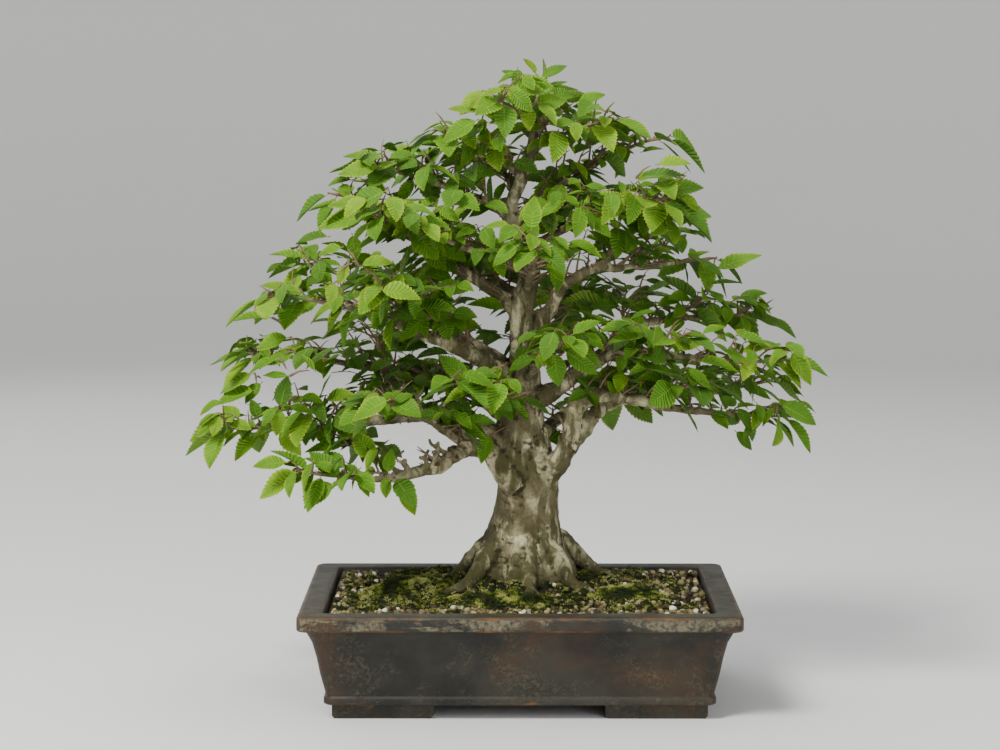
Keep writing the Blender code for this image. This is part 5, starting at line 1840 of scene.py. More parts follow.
    def fill_limbs(self) -> None:
        """Adds leafy spurs on each limb, past its thick part."""
        for limb in LIMBS:
            draw = Random(limb.name + " spurs")
            for place, way, radius in self.limb_shoots(limb, self.spur_step, 0.20, draw):
                if radius < SPUR_LIMB:
                    length = radius + draw.uniform(*self.spur_length)
                    self.shoot(limb.name + "_tip", place, way, length, draw)

    def covered(self, place: np.ndarray) -> bool:
        """True if the place shows well inside the crown's outline.

        Args:
            place: the place.

        Returns:
            True if it does.
        """
        beside, _, height = self.seen(place)
        levels, left, right = np.array(CROWN_OUTLINE).T / MILLIMETRES
        above = height + HIDDEN_RISE
        first, last = np.interp(above, levels, left), np.interp(above, levels, right)
        return bool(first + HIDDEN_INSET < beside < last - HIDDEN_INSET)

    def fill_bare(self) -> None:
        """Adds the leafless twigs and dead spurs that crowd the inside of the crown."""
        for limb in LIMBS:
            draw = Random(limb.name + " bare")
            for place, way, radius in self.limb_shoots(limb, self.bare_step, 0.12, draw):
                line = self.crooked(place, way * (1, 1, 0.6), radius + draw.uniform(0.010, 0.038), draw)
                thick = draw.uniform(0.0010, 0.0020)
                fork = self.crooked(line[2], turned(unit(line[3] - line[2]), UP, draw.choice((-60, 60))),
                                    draw.uniform(0.006, 0.016), draw)
                if self.growth.thicket.room(line[3:]) > BARE_CLEAR and self.covered(line[3]):
                    twigs = self.added[limb.name + "_tip"]
                    twigs.append(Twig(line, np.linspace(thick, 0.0006, len(line))))
                    twigs.append(Twig(fork, np.linspace(*FORK_RADII, len(fork))))

    def age(self, leaf: Leaf, draw: Random) -> float:
        """How old a blade looks: younger towards the outside and the top.

        Args:
            leaf: the blade.
            draw: the source of its small differences.

        Returns:
            0 for a young blade, 1 for an old one.
        """
        middle = leaf.start + leaf.heading * 0.5 * leaf.length - np.array(OLD_MIDDLE)
        outer = np.linalg.norm(middle / np.array(OLD_REACH))
        return float(np.clip(draw.gauss(0.60, 0.20) - 0.42 * (outer - 0.55), 0.02, 1.0))

    def build(self, leaf: Material, under: Material, twig: Material) -> list:
        """Makes one piece for each spray and sets it in the solid's place.

        Args:
            leaf: the blades' upper side.
            under: the blades' underside.
            twig: the twigs.

        Returns:
            The pieces.
        """
        pieces = []
        for spray in self.growth.sprays:
            name = spray.name
            draw = Random(name + " blades")
            soup = Soup("age", "burn", "young")
            for k, wood in enumerate(self.growth.twigs[name]):
                self.add_twig(soup, wood, 0.0 if k == 0 else 0.25, 6)
            for wood in self.added[name]:
                self.add_twig(soup, wood, 0.10, 4)
            for blade in self.growth.leaves[name]:
                burn = draw.uniform(0.6, 1.0) if draw.random() < BURNT_KEPT else 0.0
                self.cutter.cut(soup, blade, draw, self.age(blade, draw), burn, 1.0)
                self.add_bud(soup, blade)
            for blade in self.shown[name]:
                burn = 0.5 if draw.random() < BURNT_SHOWN else 0.0
                self.cutter.cut(soup, blade, draw, self.age(blade, draw), burn, 0.8)
            for blade in self.extra[name]:
                burn = draw.uniform(0.6, 1.0) if draw.random() < BURNT_FILLING else 0.0
                bent = draw.uniform(0.5, 1.6)
                self.small_cutter.cut(soup, blade, draw, self.age(blade, draw), burn, bent)
            piece = soup.build("leaves_" + name, (leaf, under, twig))
            Bench.take(piece)
            bpy.ops.object.shade_smooth_by_angle(angle=math.radians(100))
            pieces.append(settle(piece, "spray_" + name, Slot.LEAF))
        kinds = {"kept from the solids": self.growth.leaves, "shown": self.shown, "filling": self.extra,
                 "twigs added": self.added}
        for kind, found in kinds.items():
            LOG.info("%s: %d", kind, sum(len(parts) for parts in found.values()))
        return pieces

    def add_twig(self, soup: Soup, twig: Twig, young: float, sides: int) -> None:
        """Adds a twig with small swellings, redder towards its end.

        Args:
            soup: the piece that it goes into.
            twig: the twig.
            young: how young its foot looks, from 0 to 1.
            sides: how many sides it has.
        """
        every = 3 if sides > 4 else 6
        fine = smooth_line(np.column_stack([twig.line, twig.radii]))[::every]
        shift = fine[0, 0] * 900
        swell = [1.0 + 0.3 * noise.noise(Vector((shift + 1.7 * k, 3.0, 7.0))) for k in range(len(fine))]
        radii = fine[:, 3] * np.array(swell)
        radii[-1] *= 0.5
        tone = np.repeat(np.linspace(young, min(1.0, young + 0.45), len(fine)), sides)
        soup.add(*tube(fine[:, :3], radii, sides), 2, young=tone)

    def add_bud(self, soup: Soup, leaf: Leaf) -> None:
        """Adds the small pointed bud at the foot of a stalk.

        Args:
            soup: the piece that it goes into.
            leaf: the blade that it stands under.
        """
        tip = leaf.start + (leaf.heading * 0.45 + leaf.normal * 0.9) * BUD_LENGTH
        line = np.array([leaf.start, leaf.start * 0.6 + tip * 0.4, tip])
        soup.add(*tube(line, BUD_RADII, 4), 2, young=0.5)


def settle(piece: Object, node: Optional[str], slot: Slot) -> Object:
    """Moves a piece to its place over the origin, in its mesh, and hands it to the frame.

    Args:
        piece: the piece, built round the middle of the pot.
        node: the solid that it stands for, if any.
        slot: the finish that it has; not used.

    Returns:
        The piece.
    """
    Bench.move_points(piece, Bench.points(piece) + np.array(POT_PLACE))
    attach(piece, BODY)
    if node:
        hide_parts(node)
    LOG.info("%s: %d faces", piece.name, len(piece.data.polygons))
    return piece


class Bench:
    """Modelling by hand with the operators, one object at a time."""

    @staticmethod
    def add(operator: Callable, name: str, **place: object) -> Object:
        """A new primitive, alone selected and active.

        Args:
            operator: the operator that makes it.
            name: its name.
            place: its sizes and place.

        Returns:
            The new object.
        """
        bpy.ops.object.select_all(action="DESELECT")
        operator(**place)
        obj = bpy.context.active_object
        obj.name = name
        obj.data.name = name
        return obj

    @staticmethod
    def take(obj: Object) -> None:
        """Selects one object and makes it active.

        Args:
            obj: the object.
        """
        bpy.ops.object.select_all(action="DESELECT")
        obj.select_set(True)
        bpy.context.view_layer.objects.active = obj

    @staticmethod
    def edit(kind: str) -> None:
        """Into edit mode, to work on faces, edges or points."""
        bpy.ops.object.mode_set(mode="EDIT")
        bpy.ops.mesh.select_mode(type=kind)

    @staticmethod
    def done() -> None:
        """Back out of edit mode."""
        bpy.ops.object.mode_set(mode="OBJECT")

    @staticmethod
    def pick(obj: Object, test: Callable[[Vector, Vector], bool]) -> None:
        """Selects the faces whose middle and normal pass the test, and enters edit mode.

        Args:
            obj: the object.
            test: says of a middle and a normal if the face is picked.
        """
        Bench.take(obj)
        Bench.edit("FACE")
        bpy.ops.mesh.select_all(action="DESELECT")
        Bench.done()
        for face in obj.data.polygons:
            face.select = bool(test(face.center, face.normal))
        Bench.edit("FACE")

    @staticmethod
    def modify(obj: Object, kind: str, **settings: object) -> None:
        """Adds a modifier and applies it.

        Args:
            obj: the object.
            kind: Blender's name for the modifier.
            settings: its settings.
        """
        Bench.take(obj)
        modifier = obj.modifiers.new(kind.lower(), kind)
        for key, value in settings.items():
            setattr(modifier, key, value)
        bpy.ops.object.modifier_apply(modifier=modifier.name)

    @staticmethod
    def combine(first: Object, others: Sequence, operation: str) -> None:
        """Unites others with the first, or cuts them from it, and takes them away.

        Args:
            first: the object that stays.
            others: the objects that go.
            operation: UNION or DIFFERENCE.
        """
        for other in others:
            Bench.modify(first, "BOOLEAN", object=other, operation=operation, solver="EXACT")
            bpy.data.objects.remove(other)

    @staticmethod
    def finish(obj: Object, material: Material, smooth: float) -> None:
        """Gives the piece its one material and shades what is round.

        Args:
            obj: the object.
            material: its material.
            smooth: the sharpest angle that still looks round, in degrees.
        """
        obj.data.materials.clear()
        obj.data.materials.append(material)
        Bench.take(obj)
        bpy.ops.object.shade_smooth_by_angle(angle=math.radians(smooth))

    @staticmethod
    def keep(obj: Object, name: str, values: np.ndarray) -> None:
        """Keeps a value for each point of the piece."""
        layer = obj.data.attributes.get(name) or obj.data.attributes.new(name, "FLOAT", "POINT")
        layer.data.foreach_set("value", np.asarray(values, np.float32))

    @staticmethod
    def points(obj: Object) -> np.ndarray:
        """The places of the piece's points.

        Args:
            obj: the object.

        Returns:
            One row for each point.
        """
        points = np.zeros(len(obj.data.vertices) * 3, np.float32)
        obj.data.vertices.foreach_get("co", points)
        return points.reshape(-1, 3).astype(float)

    @staticmethod
    def normals(obj: Object) -> np.ndarray:
        """The way out at each of the piece's points.

        Args:
            obj: the object.

        Returns:
            One row for each point.
        """
        normals = np.zeros(len(obj.data.vertices) * 3, np.float32)
        obj.data.vertices.foreach_get("normal", normals)
        return normals.reshape(-1, 3).astype(float)

    @staticmethod
    def move_points(obj: Object, points: np.ndarray) -> None:
        """Sets the places of the piece's points."""
        obj.data.vertices.foreach_set("co", points.astype(np.float32).ravel())
        obj.data.update()


def rumble(points: np.ndarray, scale: float, shift: float = 0.0) -> np.ndarray:
    """Smooth noise from about -1 to 1 at each point."""
    rows = (points * scale + shift).tolist()
    return np.array([noise.noise(row) for row in rows])


# The soil's level at the pot's wall, and the mound that it makes round the trunk
SOIL_EDGE = 0.0890
MOUND_HEIGHT = 0.0130
MOUND_SPREAD = (0.075, 0.055)
TRUNK_X = 0.003
TRUNK_Y = 0.022


def soil_level(x: np.ndarray, y: np.ndarray) -> np.ndarray:
    """The soil's smooth height at a place."""
    dx, dy = (x - TRUNK_X) / MOUND_SPREAD[0], (y - TRUNK_Y) / MOUND_SPREAD[1]
    return SOIL_EDGE + MOUND_HEIGHT * np.exp(-(dx * dx + dy * dy) / 2)


def spaced(line: np.ndarray, step: float) -> np.ndarray:
    """The line with its other columns, at even steps of its length.

    Args:
        line: its rows, with the place in the first three columns.
        step: how far apart.

    Returns:
        The new rows.
    """
    steps = np.linalg.norm(np.diff(line[:, :3], axis=0), axis=1)
    reach = np.concatenate([[0.0], np.cumsum(steps)])
    count = max(3, round(reach[-1] / step) + 1)
    wanted = np.linspace(0.0, reach[-1], count)
    return np.column_stack([np.interp(wanted, reach, line[:, k]) for k in range(line.shape[1])])


@dataclass
class Wood:
    """Trunk, roots, limbs, stubs and snags, grown together as one piece."""

    stubs: list
    voxel: float = 0.00135
    step: float = 0.0035
    trunk_step: float = 0.0022
    trunk_sides: int = 96
    flare_depth: float = 0.20
    flare_fade: float = 0.034
    # Where a root forks, as (share of its length, turn in degrees)
    root_forks: tuple = ((0.42, 24.0), (0.60, -28.0))
    # The collar of a limb: how much thicker, and how many of its radii it reaches
    collar: float = 0.34
    collar_reach: float = 1.5
    scar_place: tuple = (-0.004, -0.0035, 0.190)
    # The scar's rolls as (reach, thickness, depth, first angle, last angle)
    rolls: tuple = ((0.0155, 0.0036, -0.0045, 206.0, 335.0), (0.0220, 0.0030, -0.0040, 226.0, 322.0),
                    (0.0290, 0.0026, -0.0035, 236.0, 305.0))
    # The old spurs on the low left limb as (share of its length, height)
    gnarls: tuple = ((0.39, 0.024), (0.49, 0.028), (0.58, 0.020), (0.66, 0.017))
    snags: int = 200
    crowded: tuple = ("left_low", "left_low_front")
    crowd: int = 30
    most_faces: int = 190000
    # The bark's relief in metres, each part at its full height or depth
    swelling: float = 0.0028
    lump: float = 0.0020
    roughness: float = 0.00055
    crease: float = 0.0010
    wrinkle: float = 0.0024
    pit: float = 0.0008
    # How deep a hollow is where its painted shade is full, and the girth under which wood looks young
    dark_hollow: float = 0.00045
    thin_girth: float = 0.0080

    def build(self, finish: Material) -> Object:
        """Makes the wood and sets it in the solid's place.

        Args:
            finish: the bark.

        Returns:
            The piece.
        """
        self.draw = Random("wood")
        self.spines: list[np.ndarray] = []
        soup = Soup()
        soup.add(*self.trunk())
        for line in self.roots() + self.limbs() + self.short_wood() + self.scar() + self.gnarled():
            sides = 20 if line[0, 3] > 0.006 else 12
            soup.add(*tube(line[:, :3], line[:, 3], sides))
            self.spines.append(line)
        wood = soup.build("wood", (finish,))
        Bench.modify(wood, "REMESH", mode="VOXEL", voxel_size=self.voxel, use_smooth_shade=True)
        Bench.modify(wood, "SMOOTH", factor=0.5, iterations=2)
        self.weather(wood)
        faces = 2 * len(wood.data.polygons)
        if faces > self.most_faces:
            Bench.modify(wood, "DECIMATE", ratio=self.most_faces / faces)
        Bench.finish(wood, finish, 180.0)
        return settle(wood, "trunk_and_limbs", Slot.BARK)

    def trunk(self) -> tuple[list, list]:
        """The trunk's tube, fluted over the roots.

        Returns:
            The points and the faces.
        """
        line = spaced(smooth_line(TRUNK), self.trunk_step)
        self.spines.append(line)
        angles = np.linspace(0.0, 2 * math.pi, self.trunk_sides, endpoint=False)
        roots = np.radians([root[0] for root in ROOTS])
        points = []
        for x, y, z, radius in line:
            flare = self.flare_depth * math.exp(-max(0.0, z - 0.104) / self.flare_fade)
            flare *= min(1.0, max(0.0, (z - 0.098) / 0.006))
            twist = 1.6 * (z - 0.10)
            near = np.max([np.cos(angles - root + twist) for root in roots], axis=0)
            far = np.clip(near, 0.0, 1.0) ** 7 - 0.42
            reach = radius * (1 + flare * far)
            ring = np.column_stack([np.cos(angles), np.sin(angles), np.full(len(angles), 7.0 * z)])
            reach = reach * (1 + 0.055 * rumble(ring, 1.5, 5.0) * min(1.0, radius / 0.02))
            points.append(np.column_stack([x + reach * np.cos(angles), y + reach * np.sin(angles),
                                           np.full(len(angles), z)]))
        sides, rings = self.trunk_sides, len(points)
        faces = [tuple(reversed(range(sides))), tuple(range((rings - 1) * sides, rings * sides))]
        for i in range(rings - 1):
            for k in range(sides):
                a, b = i * sides + k, i * sides + (k + 1) % sides
                faces.append((a, b, b + sides, a + sides))
        return np.vstack(points), faces

    def roots(self) -> list[np.ndarray]:
        """Surface roots that run out over the soil, sink into it and fork.

        Returns:
            A line with its radius for each root.
        """
        lines = []
        for heading, length, radius in ROOTS:
            main = self.root_line(heading, length, radius)
            lines.append(main)
            for share, turn in self.root_forks:
                spot = main[int(share * (len(main) - 1))]
                lines.append(self.rootlet(spot, heading + turn * self.draw.uniform(0.7, 1.4), 0.5 * length))
        return lines

    def root_line(self, heading: float, length: float, radius: float) -> np.ndarray:
        """A root's line with its radius, from the trunk's heart to where it goes under.

        Args:
            heading: where it runs to, in degrees from +X.
            length: how long it is.
            radius: how thick it is at the trunk.

        Returns:
            The line with its radius.
        """
        rows = []
        sway = self.draw.uniform(-0.10, 0.10)
        for share, height, part in ROOT_RINGS + (ROOT_END,):
            angle = math.radians(heading) + sway * math.sin(3.0 * share)
            x = TRUNK_X + length * share * math.cos(angle)
            y = TRUNK_Y + length * share * math.sin(angle)
            size = radius * part
            rows.append((x, y, soil_level(x, y) + height + 0.72 * size, size))
        return self.rough(spaced(smooth_line(rows), self.step), 0.0010, 0.14)

    def rootlet(self, spot: np.ndarray, heading: float, length: float) -> np.ndarray:
        """A thin root that leaves a main one and follows the soil.

        Args:
            spot: the main root's row where it leaves.
            heading: where it runs to, in degrees from +X.
            length: how long it is.

        Returns:
            The line with its radius.
        """
        rows = [spot * (1, 1, 1, 0.5)]
        angle = math.radians(heading)
        for k in range(1, 5):
            angle += self.draw.uniform(-0.25, 0.25)
            x, y = rows[-1][0] + length / 4 * math.cos(angle), rows[-1][1] + length / 4 * math.sin(angle)
            size = spot[3] * (0.46 - 0.085 * k)
            rows.append(np.array((x, y, soil_level(x, y) + 0.5 * size - 0.0009 * k, size)))
        return self.rough(spaced(smooth_line(rows), self.step), 0.0007, 0.12)

    def rough(self, line: np.ndarray, sway: float, lumps: float) -> np.ndarray:
        """Sways a line off its way and makes it knobbly, but not at its two ends.

        Args:
            line: the line with its radius.
            sway: how far it sways.
            lumps: how much its radius changes, as a share.

        Returns:
            The new line.
        """
        share = np.linspace(0.0, 1.0, len(line))
        held = np.clip(np.minimum(share, 1 - share) / 0.12, 0.0, 1.0)
        shift = self.draw.uniform(0, 50)
        line = line.copy()
        sways = [rumble(line[:, :3], 55.0, shift + 9.0 * k) for k in range(3)]
        line[:, :3] += np.column_stack(sways) * (sway * held)[:, None]
        knobs = rumble(line[:, :3], 120.0, shift) + 0.6 * rumble(line[:, :3], 260.0, shift)
        line[:, 3] *= 1 + lumps * knobs * np.clip(held + 0.3, 0, 1)
        return line

    def limbs(self) -> list[np.ndarray]:
        """Every limb, with the collar where it leaves the trunk.

        Returns:
            A line with its radius for each limb.
        """
        lines = []
        for limb in LIMBS:
            line = spaced(smooth_line(limb.route), self.step)
            share = np.linspace(0.0, 1.0, len(line))
            radius = np.array([limb_radius(limb, s) for s in share])
            away = share * len(line) * self.step
            radius *= 1 + self.collar * np.exp(-away / (self.collar_reach * limb.first))
            lines.append(self.rough(np.column_stack([line, radius]), 0.0017, 0.16))
        return lines

    def short_wood(self) -> list[np.ndarray]:
        """The stubs that carry the side sprays, and old snags and knuckles on the limbs.

        Returns:
            A line with its radius for each.
        """
        lines = []
        spine = np.vstack([smooth_line(limb.route) for limb in LIMBS])
        for stub in self.stubs:
            foot = spine[np.linalg.norm(spine - stub.line[0], axis=1).argmin()]
            rows = [(*foot, 1.5 * stub.radii[0]), (*stub.line[1], stub.radii[0])]
            lines.append(spaced(np.array(rows), self.step))
        crowded = [limb for limb in LIMBS if limb.name in self.crowded]
        for k in range(self.snags):
            among = k < self.crowd
            limb = self.draw.choice(crowded if among else LIMBS)
            share = self.draw.uniform(0.20, 0.80) if among else self.draw.uniform(0.08, 0.95)
            place, heading = along(smooth_line(limb.route), share)
            radius = limb_radius(limb, share)
            out = unit(turned(unit(np.cross(heading, UP)), heading, self.draw.uniform(-205, 25)))
            ahead = 0.5 * heading * self.draw.uniform(-0.5, 1.0)
            out = unit(out + ahead + UP * self.draw.uniform(-0.1, 0.4))
            size = radius * self.draw.uniform(0.30, 0.55)
            size = min(max(size, 0.0018 if among else 0.0009), 0.0030)
            length = radius + self.draw.uniform(*((0.002, 0.008) if among else (0.0015, 0.0075)))
            bend = out + 0.35 * turned(out, heading, 90.0)
            rows = ((*place, 1.3 * size), (*(place + out * 0.6 * length), size),
                    (*(place + unit(bend) * length), 0.86 * size))
            lines.append(spaced(np.array(rows), self.step * 0.6))
        return lines

    def weather(self, wood: Object) -> None:
        """Moves the surface by the bark's own relief, and keeps where it is thin and the painted shade of
        its folds and hollows.

        Args:
            wood: the wood.
        """
        points, normals = Bench.points(wood), Bench.normals(wood)
        spine = np.vstack(self.spines)
        tree = kdtree.KDTree(len(spine))
        for k, row in enumerate(spine):
            tree.insert(row[:3], k)
        tree.balance()
        girth = np.array([spine[tree.find(p)[1], 3] for p in points.tolist()])
        size = np.clip(girth / 0.026, 0.12, 1.0) ** 0.7
        drawn = points * (1.0, 1.0, 0.38)
        broad = rumble(points, 58.0)
        lumps = rumble(points, 140.0, 4.0)
        grain = rumble(points, 360.0, 9.0)
        crease = self.lines(rumble(drawn, 95.0, 13.0), 0.15)
        crease = crease * np.clip(rumble(points, 42.0, 2.0) + 0.6, 0, 1)
        low = np.clip((0.150 - points[:, 2]) / 0.04, 0.0, 1.0)
        wrinkle = self.lines(rumble(points * (0.5, 0.5, 1.9), 85.0, 21.0), 0.17) * (0.25 + 0.75 * low)
        wrinkle = wrinkle * np.clip(rumble(points, 50.0, 31.0) + 0.4, 0, 1)
        pits = np.clip(rumble(points * (1.0, 1.0, 1.5), 100.0, 41.0) - 0.20, 0.0, 0.35) / 0.35
        push = self.swelling * broad * size + self.lump * lumps * size
        push = push + self.roughness * grain * np.clip(size * 1.6, 0, 1)
        push -= (self.crease * crease + self.wrinkle * wrinkle + self.pit * pits) * size
        Bench.move_points(wood, points + normals * push[:, None])
        # Painted shade: darker in hollows under the smoothed surface, along creases and wrinkles, and in
        # low lumps
        deep = np.clip(self.hollows(wood) / self.dark_hollow, 0.0, 1.2)
        fold = 0.9 * deep + 0.20 * crease + 0.35 * wrinkle + 0.5 * np.clip(-lumps - 0.15, 0, 1)
        fold += 0.5 * np.clip(-broad - 0.15, 0, 1)
        Bench.keep(wood, "fold", np.clip(fold, 0.0, 1.0))
        Bench.keep(wood, "thin", np.clip((self.thin_girth - girth) / 0.0050, 0.0, 1.0))

    def lines(self, field: np.ndarray, wide: float) -> np.ndarray:
        """1 where the noise crosses nought, which makes thin winding lines."""
        return np.clip(1.0 - np.abs(field) / wide, 0.0, 1.0)

    def scar(self) -> list[np.ndarray]:
        """The healed stub that slants down the trunk's front, with rolls of callus sagging under it.

        Returns:
            A line with its radius for the stub and for each roll.
        """
        x, y, z = self.scar_place
        stub = [(x - 0.019, y + 0.010, z + 0.022, 0.0100), (x - 0.012, y + 0.003, z + 0.012, 0.0108),
                (x - 0.004, y, z + 0.001, 0.0112), (x + 0.001, y + 0.001, z - 0.005, 0.0098)]
        lines = [spaced(smooth_line(stub), self.step * 0.6)]
        for reach, size, depth, first, last in self.rolls:
            rows = []
            for share in np.linspace(0.0, 1.0, 9):
                angle = math.radians(first + (last - first) * share)
                sag = 1.0 + 0.10 * math.sin(7.0 * share + 90.0 * reach)
                thick = size * (0.20 + 0.80 * math.sin(math.pi * min(max(share, 0.06), 0.94)))
                sunk = depth + 0.040 * (0.5 - share) ** 2 + 0.008 * (1 - share) ** 3
                rows.append((x + 0.86 * reach * sag * math.cos(angle), y + sunk,
                             z + 1.08 * reach * sag * math.sin(angle), thick))
            lines.append(spaced(smooth_line(rows), self.step * 0.5))
        return lines

    def gnarled(self) -> list[np.ndarray]:
        """Old pruned spurs, crooked and forked, that stand close together on the low left limb.

        Returns:
            A line with its radius for each spur and each fork.
        """
        lines = []
        route = smooth_line(next(limb.route for limb in LIMBS if limb.name == "left_low"))
        for share, height in self.gnarls:
            place, heading = along(route, share)
            way = UP + heading * self.draw.uniform(-0.1, 0.9)
            way = unit(way - (0.0, self.draw.uniform(-0.2, 0.7), 0.0))
            rows = [(*place, 0.0034)]
            for k in range(5):
                way = unit(way + [self.draw.uniform(-0.9, 0.7), self.draw.uniform(-0.6, 0.5), 0.15])
                place = place + way * height / 4.2
                rows.append((*place, 0.0025 - 0.0002 * k))
                if k == 2:
                    side = unit(turned(way, np.array((0.0, 1.0, 0.0)), self.draw.choice((-65, 65))))
                    knob = [(*place, 0.0023), (*(place + side * 0.003), 0.0021),
                            (*(place + side * 0.006), 0.0018)]
                    lines.append(spaced(np.array(knob), self.step * 0.6))
            lines.append(self.rough(spaced(smooth_line(rows), self.step * 0.6), 0.0006, 0.26))
        return lines

    def hollows(self, wood: Object) -> np.ndarray:
        """How deep each point lies under the surface that smoothing gives, in metres.

        Args:
            wood: the wood.

        Returns:
            The depth at each point.
        """
        points, normals = Bench.points(wood), Bench.normals(wood)
        Bench.take(wood)
        bpy.ops.object.duplicate()
        copy = bpy.context.active_object
        Bench.modify(copy, "SMOOTH", factor=0.5, iterations=20)
        deep = ((Bench.points(copy) - points) * normals).sum(axis=1)
        bpy.data.objects.remove(copy)
        return deep


@dataclass
class Pot:
    """The rectangular training pot: flared walls, flat rim, corner feet and drain holes."""

    length: float = 0.380
    depth: float = 0.270
    corner: float = 0.007
    corner_steps: int = 6
    # Walls as (inset from the rim's edge, height), up the outside, over the rim and down inside
    walls: tuple = (
        (0.0235, 0.0130), (0.0215, 0.0145), (0.0215, 0.0190), (0.0235, 0.0208), (0.0220, 0.0270),
        (0.0188, 0.0400), (0.0160, 0.0550), (0.0125, 0.0690), (0.0070, 0.0800), (0.0026, 0.0802),
        (0.0008, 0.0808), (0.0000, 0.0822), (0.0000, 0.0842), (0.0000, 0.0900), (0.0001, 0.0916),
        (0.0008, 0.0932), (0.0024, 0.0940), (0.0050, 0.0940), (0.0170, 0.0940), (0.0195, 0.0938),
        (0.0212, 0.0930), (0.0222, 0.0910), (0.0300, 0.0450), (0.0345, 0.0200),
    )
    foot_inset: float = 0.0285
    foot_thick: float = 0.017
    foot_front: float = 0.088
    foot_side: float = 0.062
    foot_high: float = 0.0145
    foot_slant: float = 0.07
    foot_draft: float = 0.002
    drain_x: float = 0.085
    drain_radius: float = 0.013
    round_edge: float = 0.0009
    # Zones of the clay as (what for, lowest, highest, least and most inset from the rim's edge, strength)
    zones: tuple = (
        ("edge", 0.0908, 1.0, -1.0, 0.0035, 1.0), ("edge", 0.0795, 0.0836, -1.0, 0.0035, 0.9),
        ("edge", 0.0125, 0.0150, -1.0, 1.0, 0.8), ("edge", -1.0, 0.0016, -1.0, 1.0, 1.0),
        ("edge", 0.0905, 1.0, 0.0195, 1.0, 0.45), ("rim", 0.0930, 1.0, -1.0, 0.0220, 1.0),
        ("face", 0.0815, 0.0918, -1.0, 0.0020, 1.0),
    )

    def build(self, finish: Material) -> Object:
        """Models the pot and sets it in the solid's place.

        Args:
            finish: the fired clay.

        Returns:
            The piece.
        """
        pot = self.shell()
        foot = self.foot()
        Bench.combine(pot, [self.corner_foot(foot, sx, sy) for sx in (-1, 1) for sy in (-1, 1)], "UNION")
        bpy.data.objects.remove(foot)
        Bench.combine(pot, [self.drill(sx * self.drain_x) for sx in (-1, 1)], "DIFFERENCE")
        Bench.modify(pot, "BEVEL", width=self.round_edge, segments=2, limit_method="ANGLE",
                     angle_limit=math.radians(34))
        Bench.finish(pot, finish, 34.0)
        self.mark(pot)
        return settle(pot, "pot", Slot.POT)

    def shell(self) -> Object:
        """A plate with round corners, drawn up through the walls and down inside them.

        Returns:
            The pot without its feet and holes.
        """
        pot = Bench.add(bpy.ops.mesh.primitive_plane_add, "pot_body", size=1.0)
        Bench.edit("VERT")
        inset, height = self.walls[0]
        bpy.ops.transform.resize(value=(self.length - 2 * inset, self.depth - 2 * inset, 1.0))
        bpy.ops.mesh.bevel(offset=self.corner, segments=self.corner_steps, affect="VERTICES")
        bpy.ops.mesh.select_mode(type="FACE")
        bpy.ops.mesh.select_all(action="SELECT")
        bpy.ops.transform.translate(value=(0.0, 0.0, height))
        for step in self.walls[1:]:
            wide = (self.length - 2 * step[0]) / (self.length - 2 * inset)
            deep = (self.depth - 2 * step[0]) / (self.depth - 2 * inset)
            bpy.ops.mesh.extrude_region_move(TRANSFORM_OT_translate={"value": (0.0, 0.0, step[1] - height)})
            bpy.ops.transform.resize(value=(wide, deep, 1.0), center_override=(0.0, 0.0, 0.0))
            inset, height = step
        bpy.ops.mesh.select_all(action="SELECT")
        bpy.ops.mesh.normals_make_consistent(inside=False)
        Bench.done()
        return pot

    def foot(self) -> Object:
        """An L for the corner at +X and +Y, smaller at the ground.

        Returns:
            The foot.
        """
        half_x, half_y = self.length / 2 - self.foot_inset, self.depth / 2 - self.foot_inset
        foot = Bench.add(bpy.ops.mesh.primitive_cube_add, "foot", size=1.0)
        Bench.edit("FACE")
        bpy.ops.transform.resize(value=(self.foot_front, self.foot_thick, self.foot_high))
        middle = (half_x - self.foot_front / 2, half_y - self.foot_thick / 2, self.foot_high / 2)
        bpy.ops.transform.translate(value=middle)
        for height, across in ((0.0030, (0, 0, 1)), (0.0, (1, 0, 0))):
            bpy.ops.mesh.select_all(action="SELECT")
            spot = (half_x - self.foot_thick, 0.0, height)
            bpy.ops.mesh.bisect(plane_co=spot, plane_no=across)
        Bench.done()
        Bench.pick(foot, lambda c, n: n.y < -0.9 and c.x > half_x - self.foot_thick)
        reach = self.foot_side - self.foot_thick
        bpy.ops.mesh.extrude_region_move(TRANSFORM_OT_translate={"value": (0.0, -reach, 0.0)})
        Bench.done()
        Bench.pick(foot, lambda c, n: n.z < -0.9)
        small = 1 - self.foot_slant
        bpy.ops.transform.resize(value=(small, small, 1.0), center_override=(half_x, half_y, 0.0))
        bpy.ops.transform.translate(value=(-self.foot_draft, -self.foot_draft, 0.0))
        Bench.done()
        return foot

    def corner_foot(self, foot: Object, sx: int, sy: int) -> Object:
        """A copy of the foot, mirrored into one corner.

        Args:
            foot: the foot.
            sx: -1 for the left.
            sy: -1 for the front.

        Returns:
            The copy.
        """
        Bench.take(foot)
        bpy.ops.object.duplicate()
        copy = bpy.context.active_object
        copy.scale = (sx, sy, 1.0)
        Bench.take(copy)
        bpy.ops.object.transform_apply(location=True, rotation=True, scale=True)
        Bench.edit("FACE")
        bpy.ops.mesh.select_all(action="SELECT")
        bpy.ops.mesh.normals_make_consistent(inside=False)
        Bench.done()
        return copy

    def drill(self, x: float) -> Object:
        """The rod that cuts one drain hole."""
        return Bench.add(bpy.ops.mesh.primitive_cylinder_add, "drill", vertices=48,
                         radius=self.drain_radius, depth=0.02, location=(x, 0.0, 0.017))

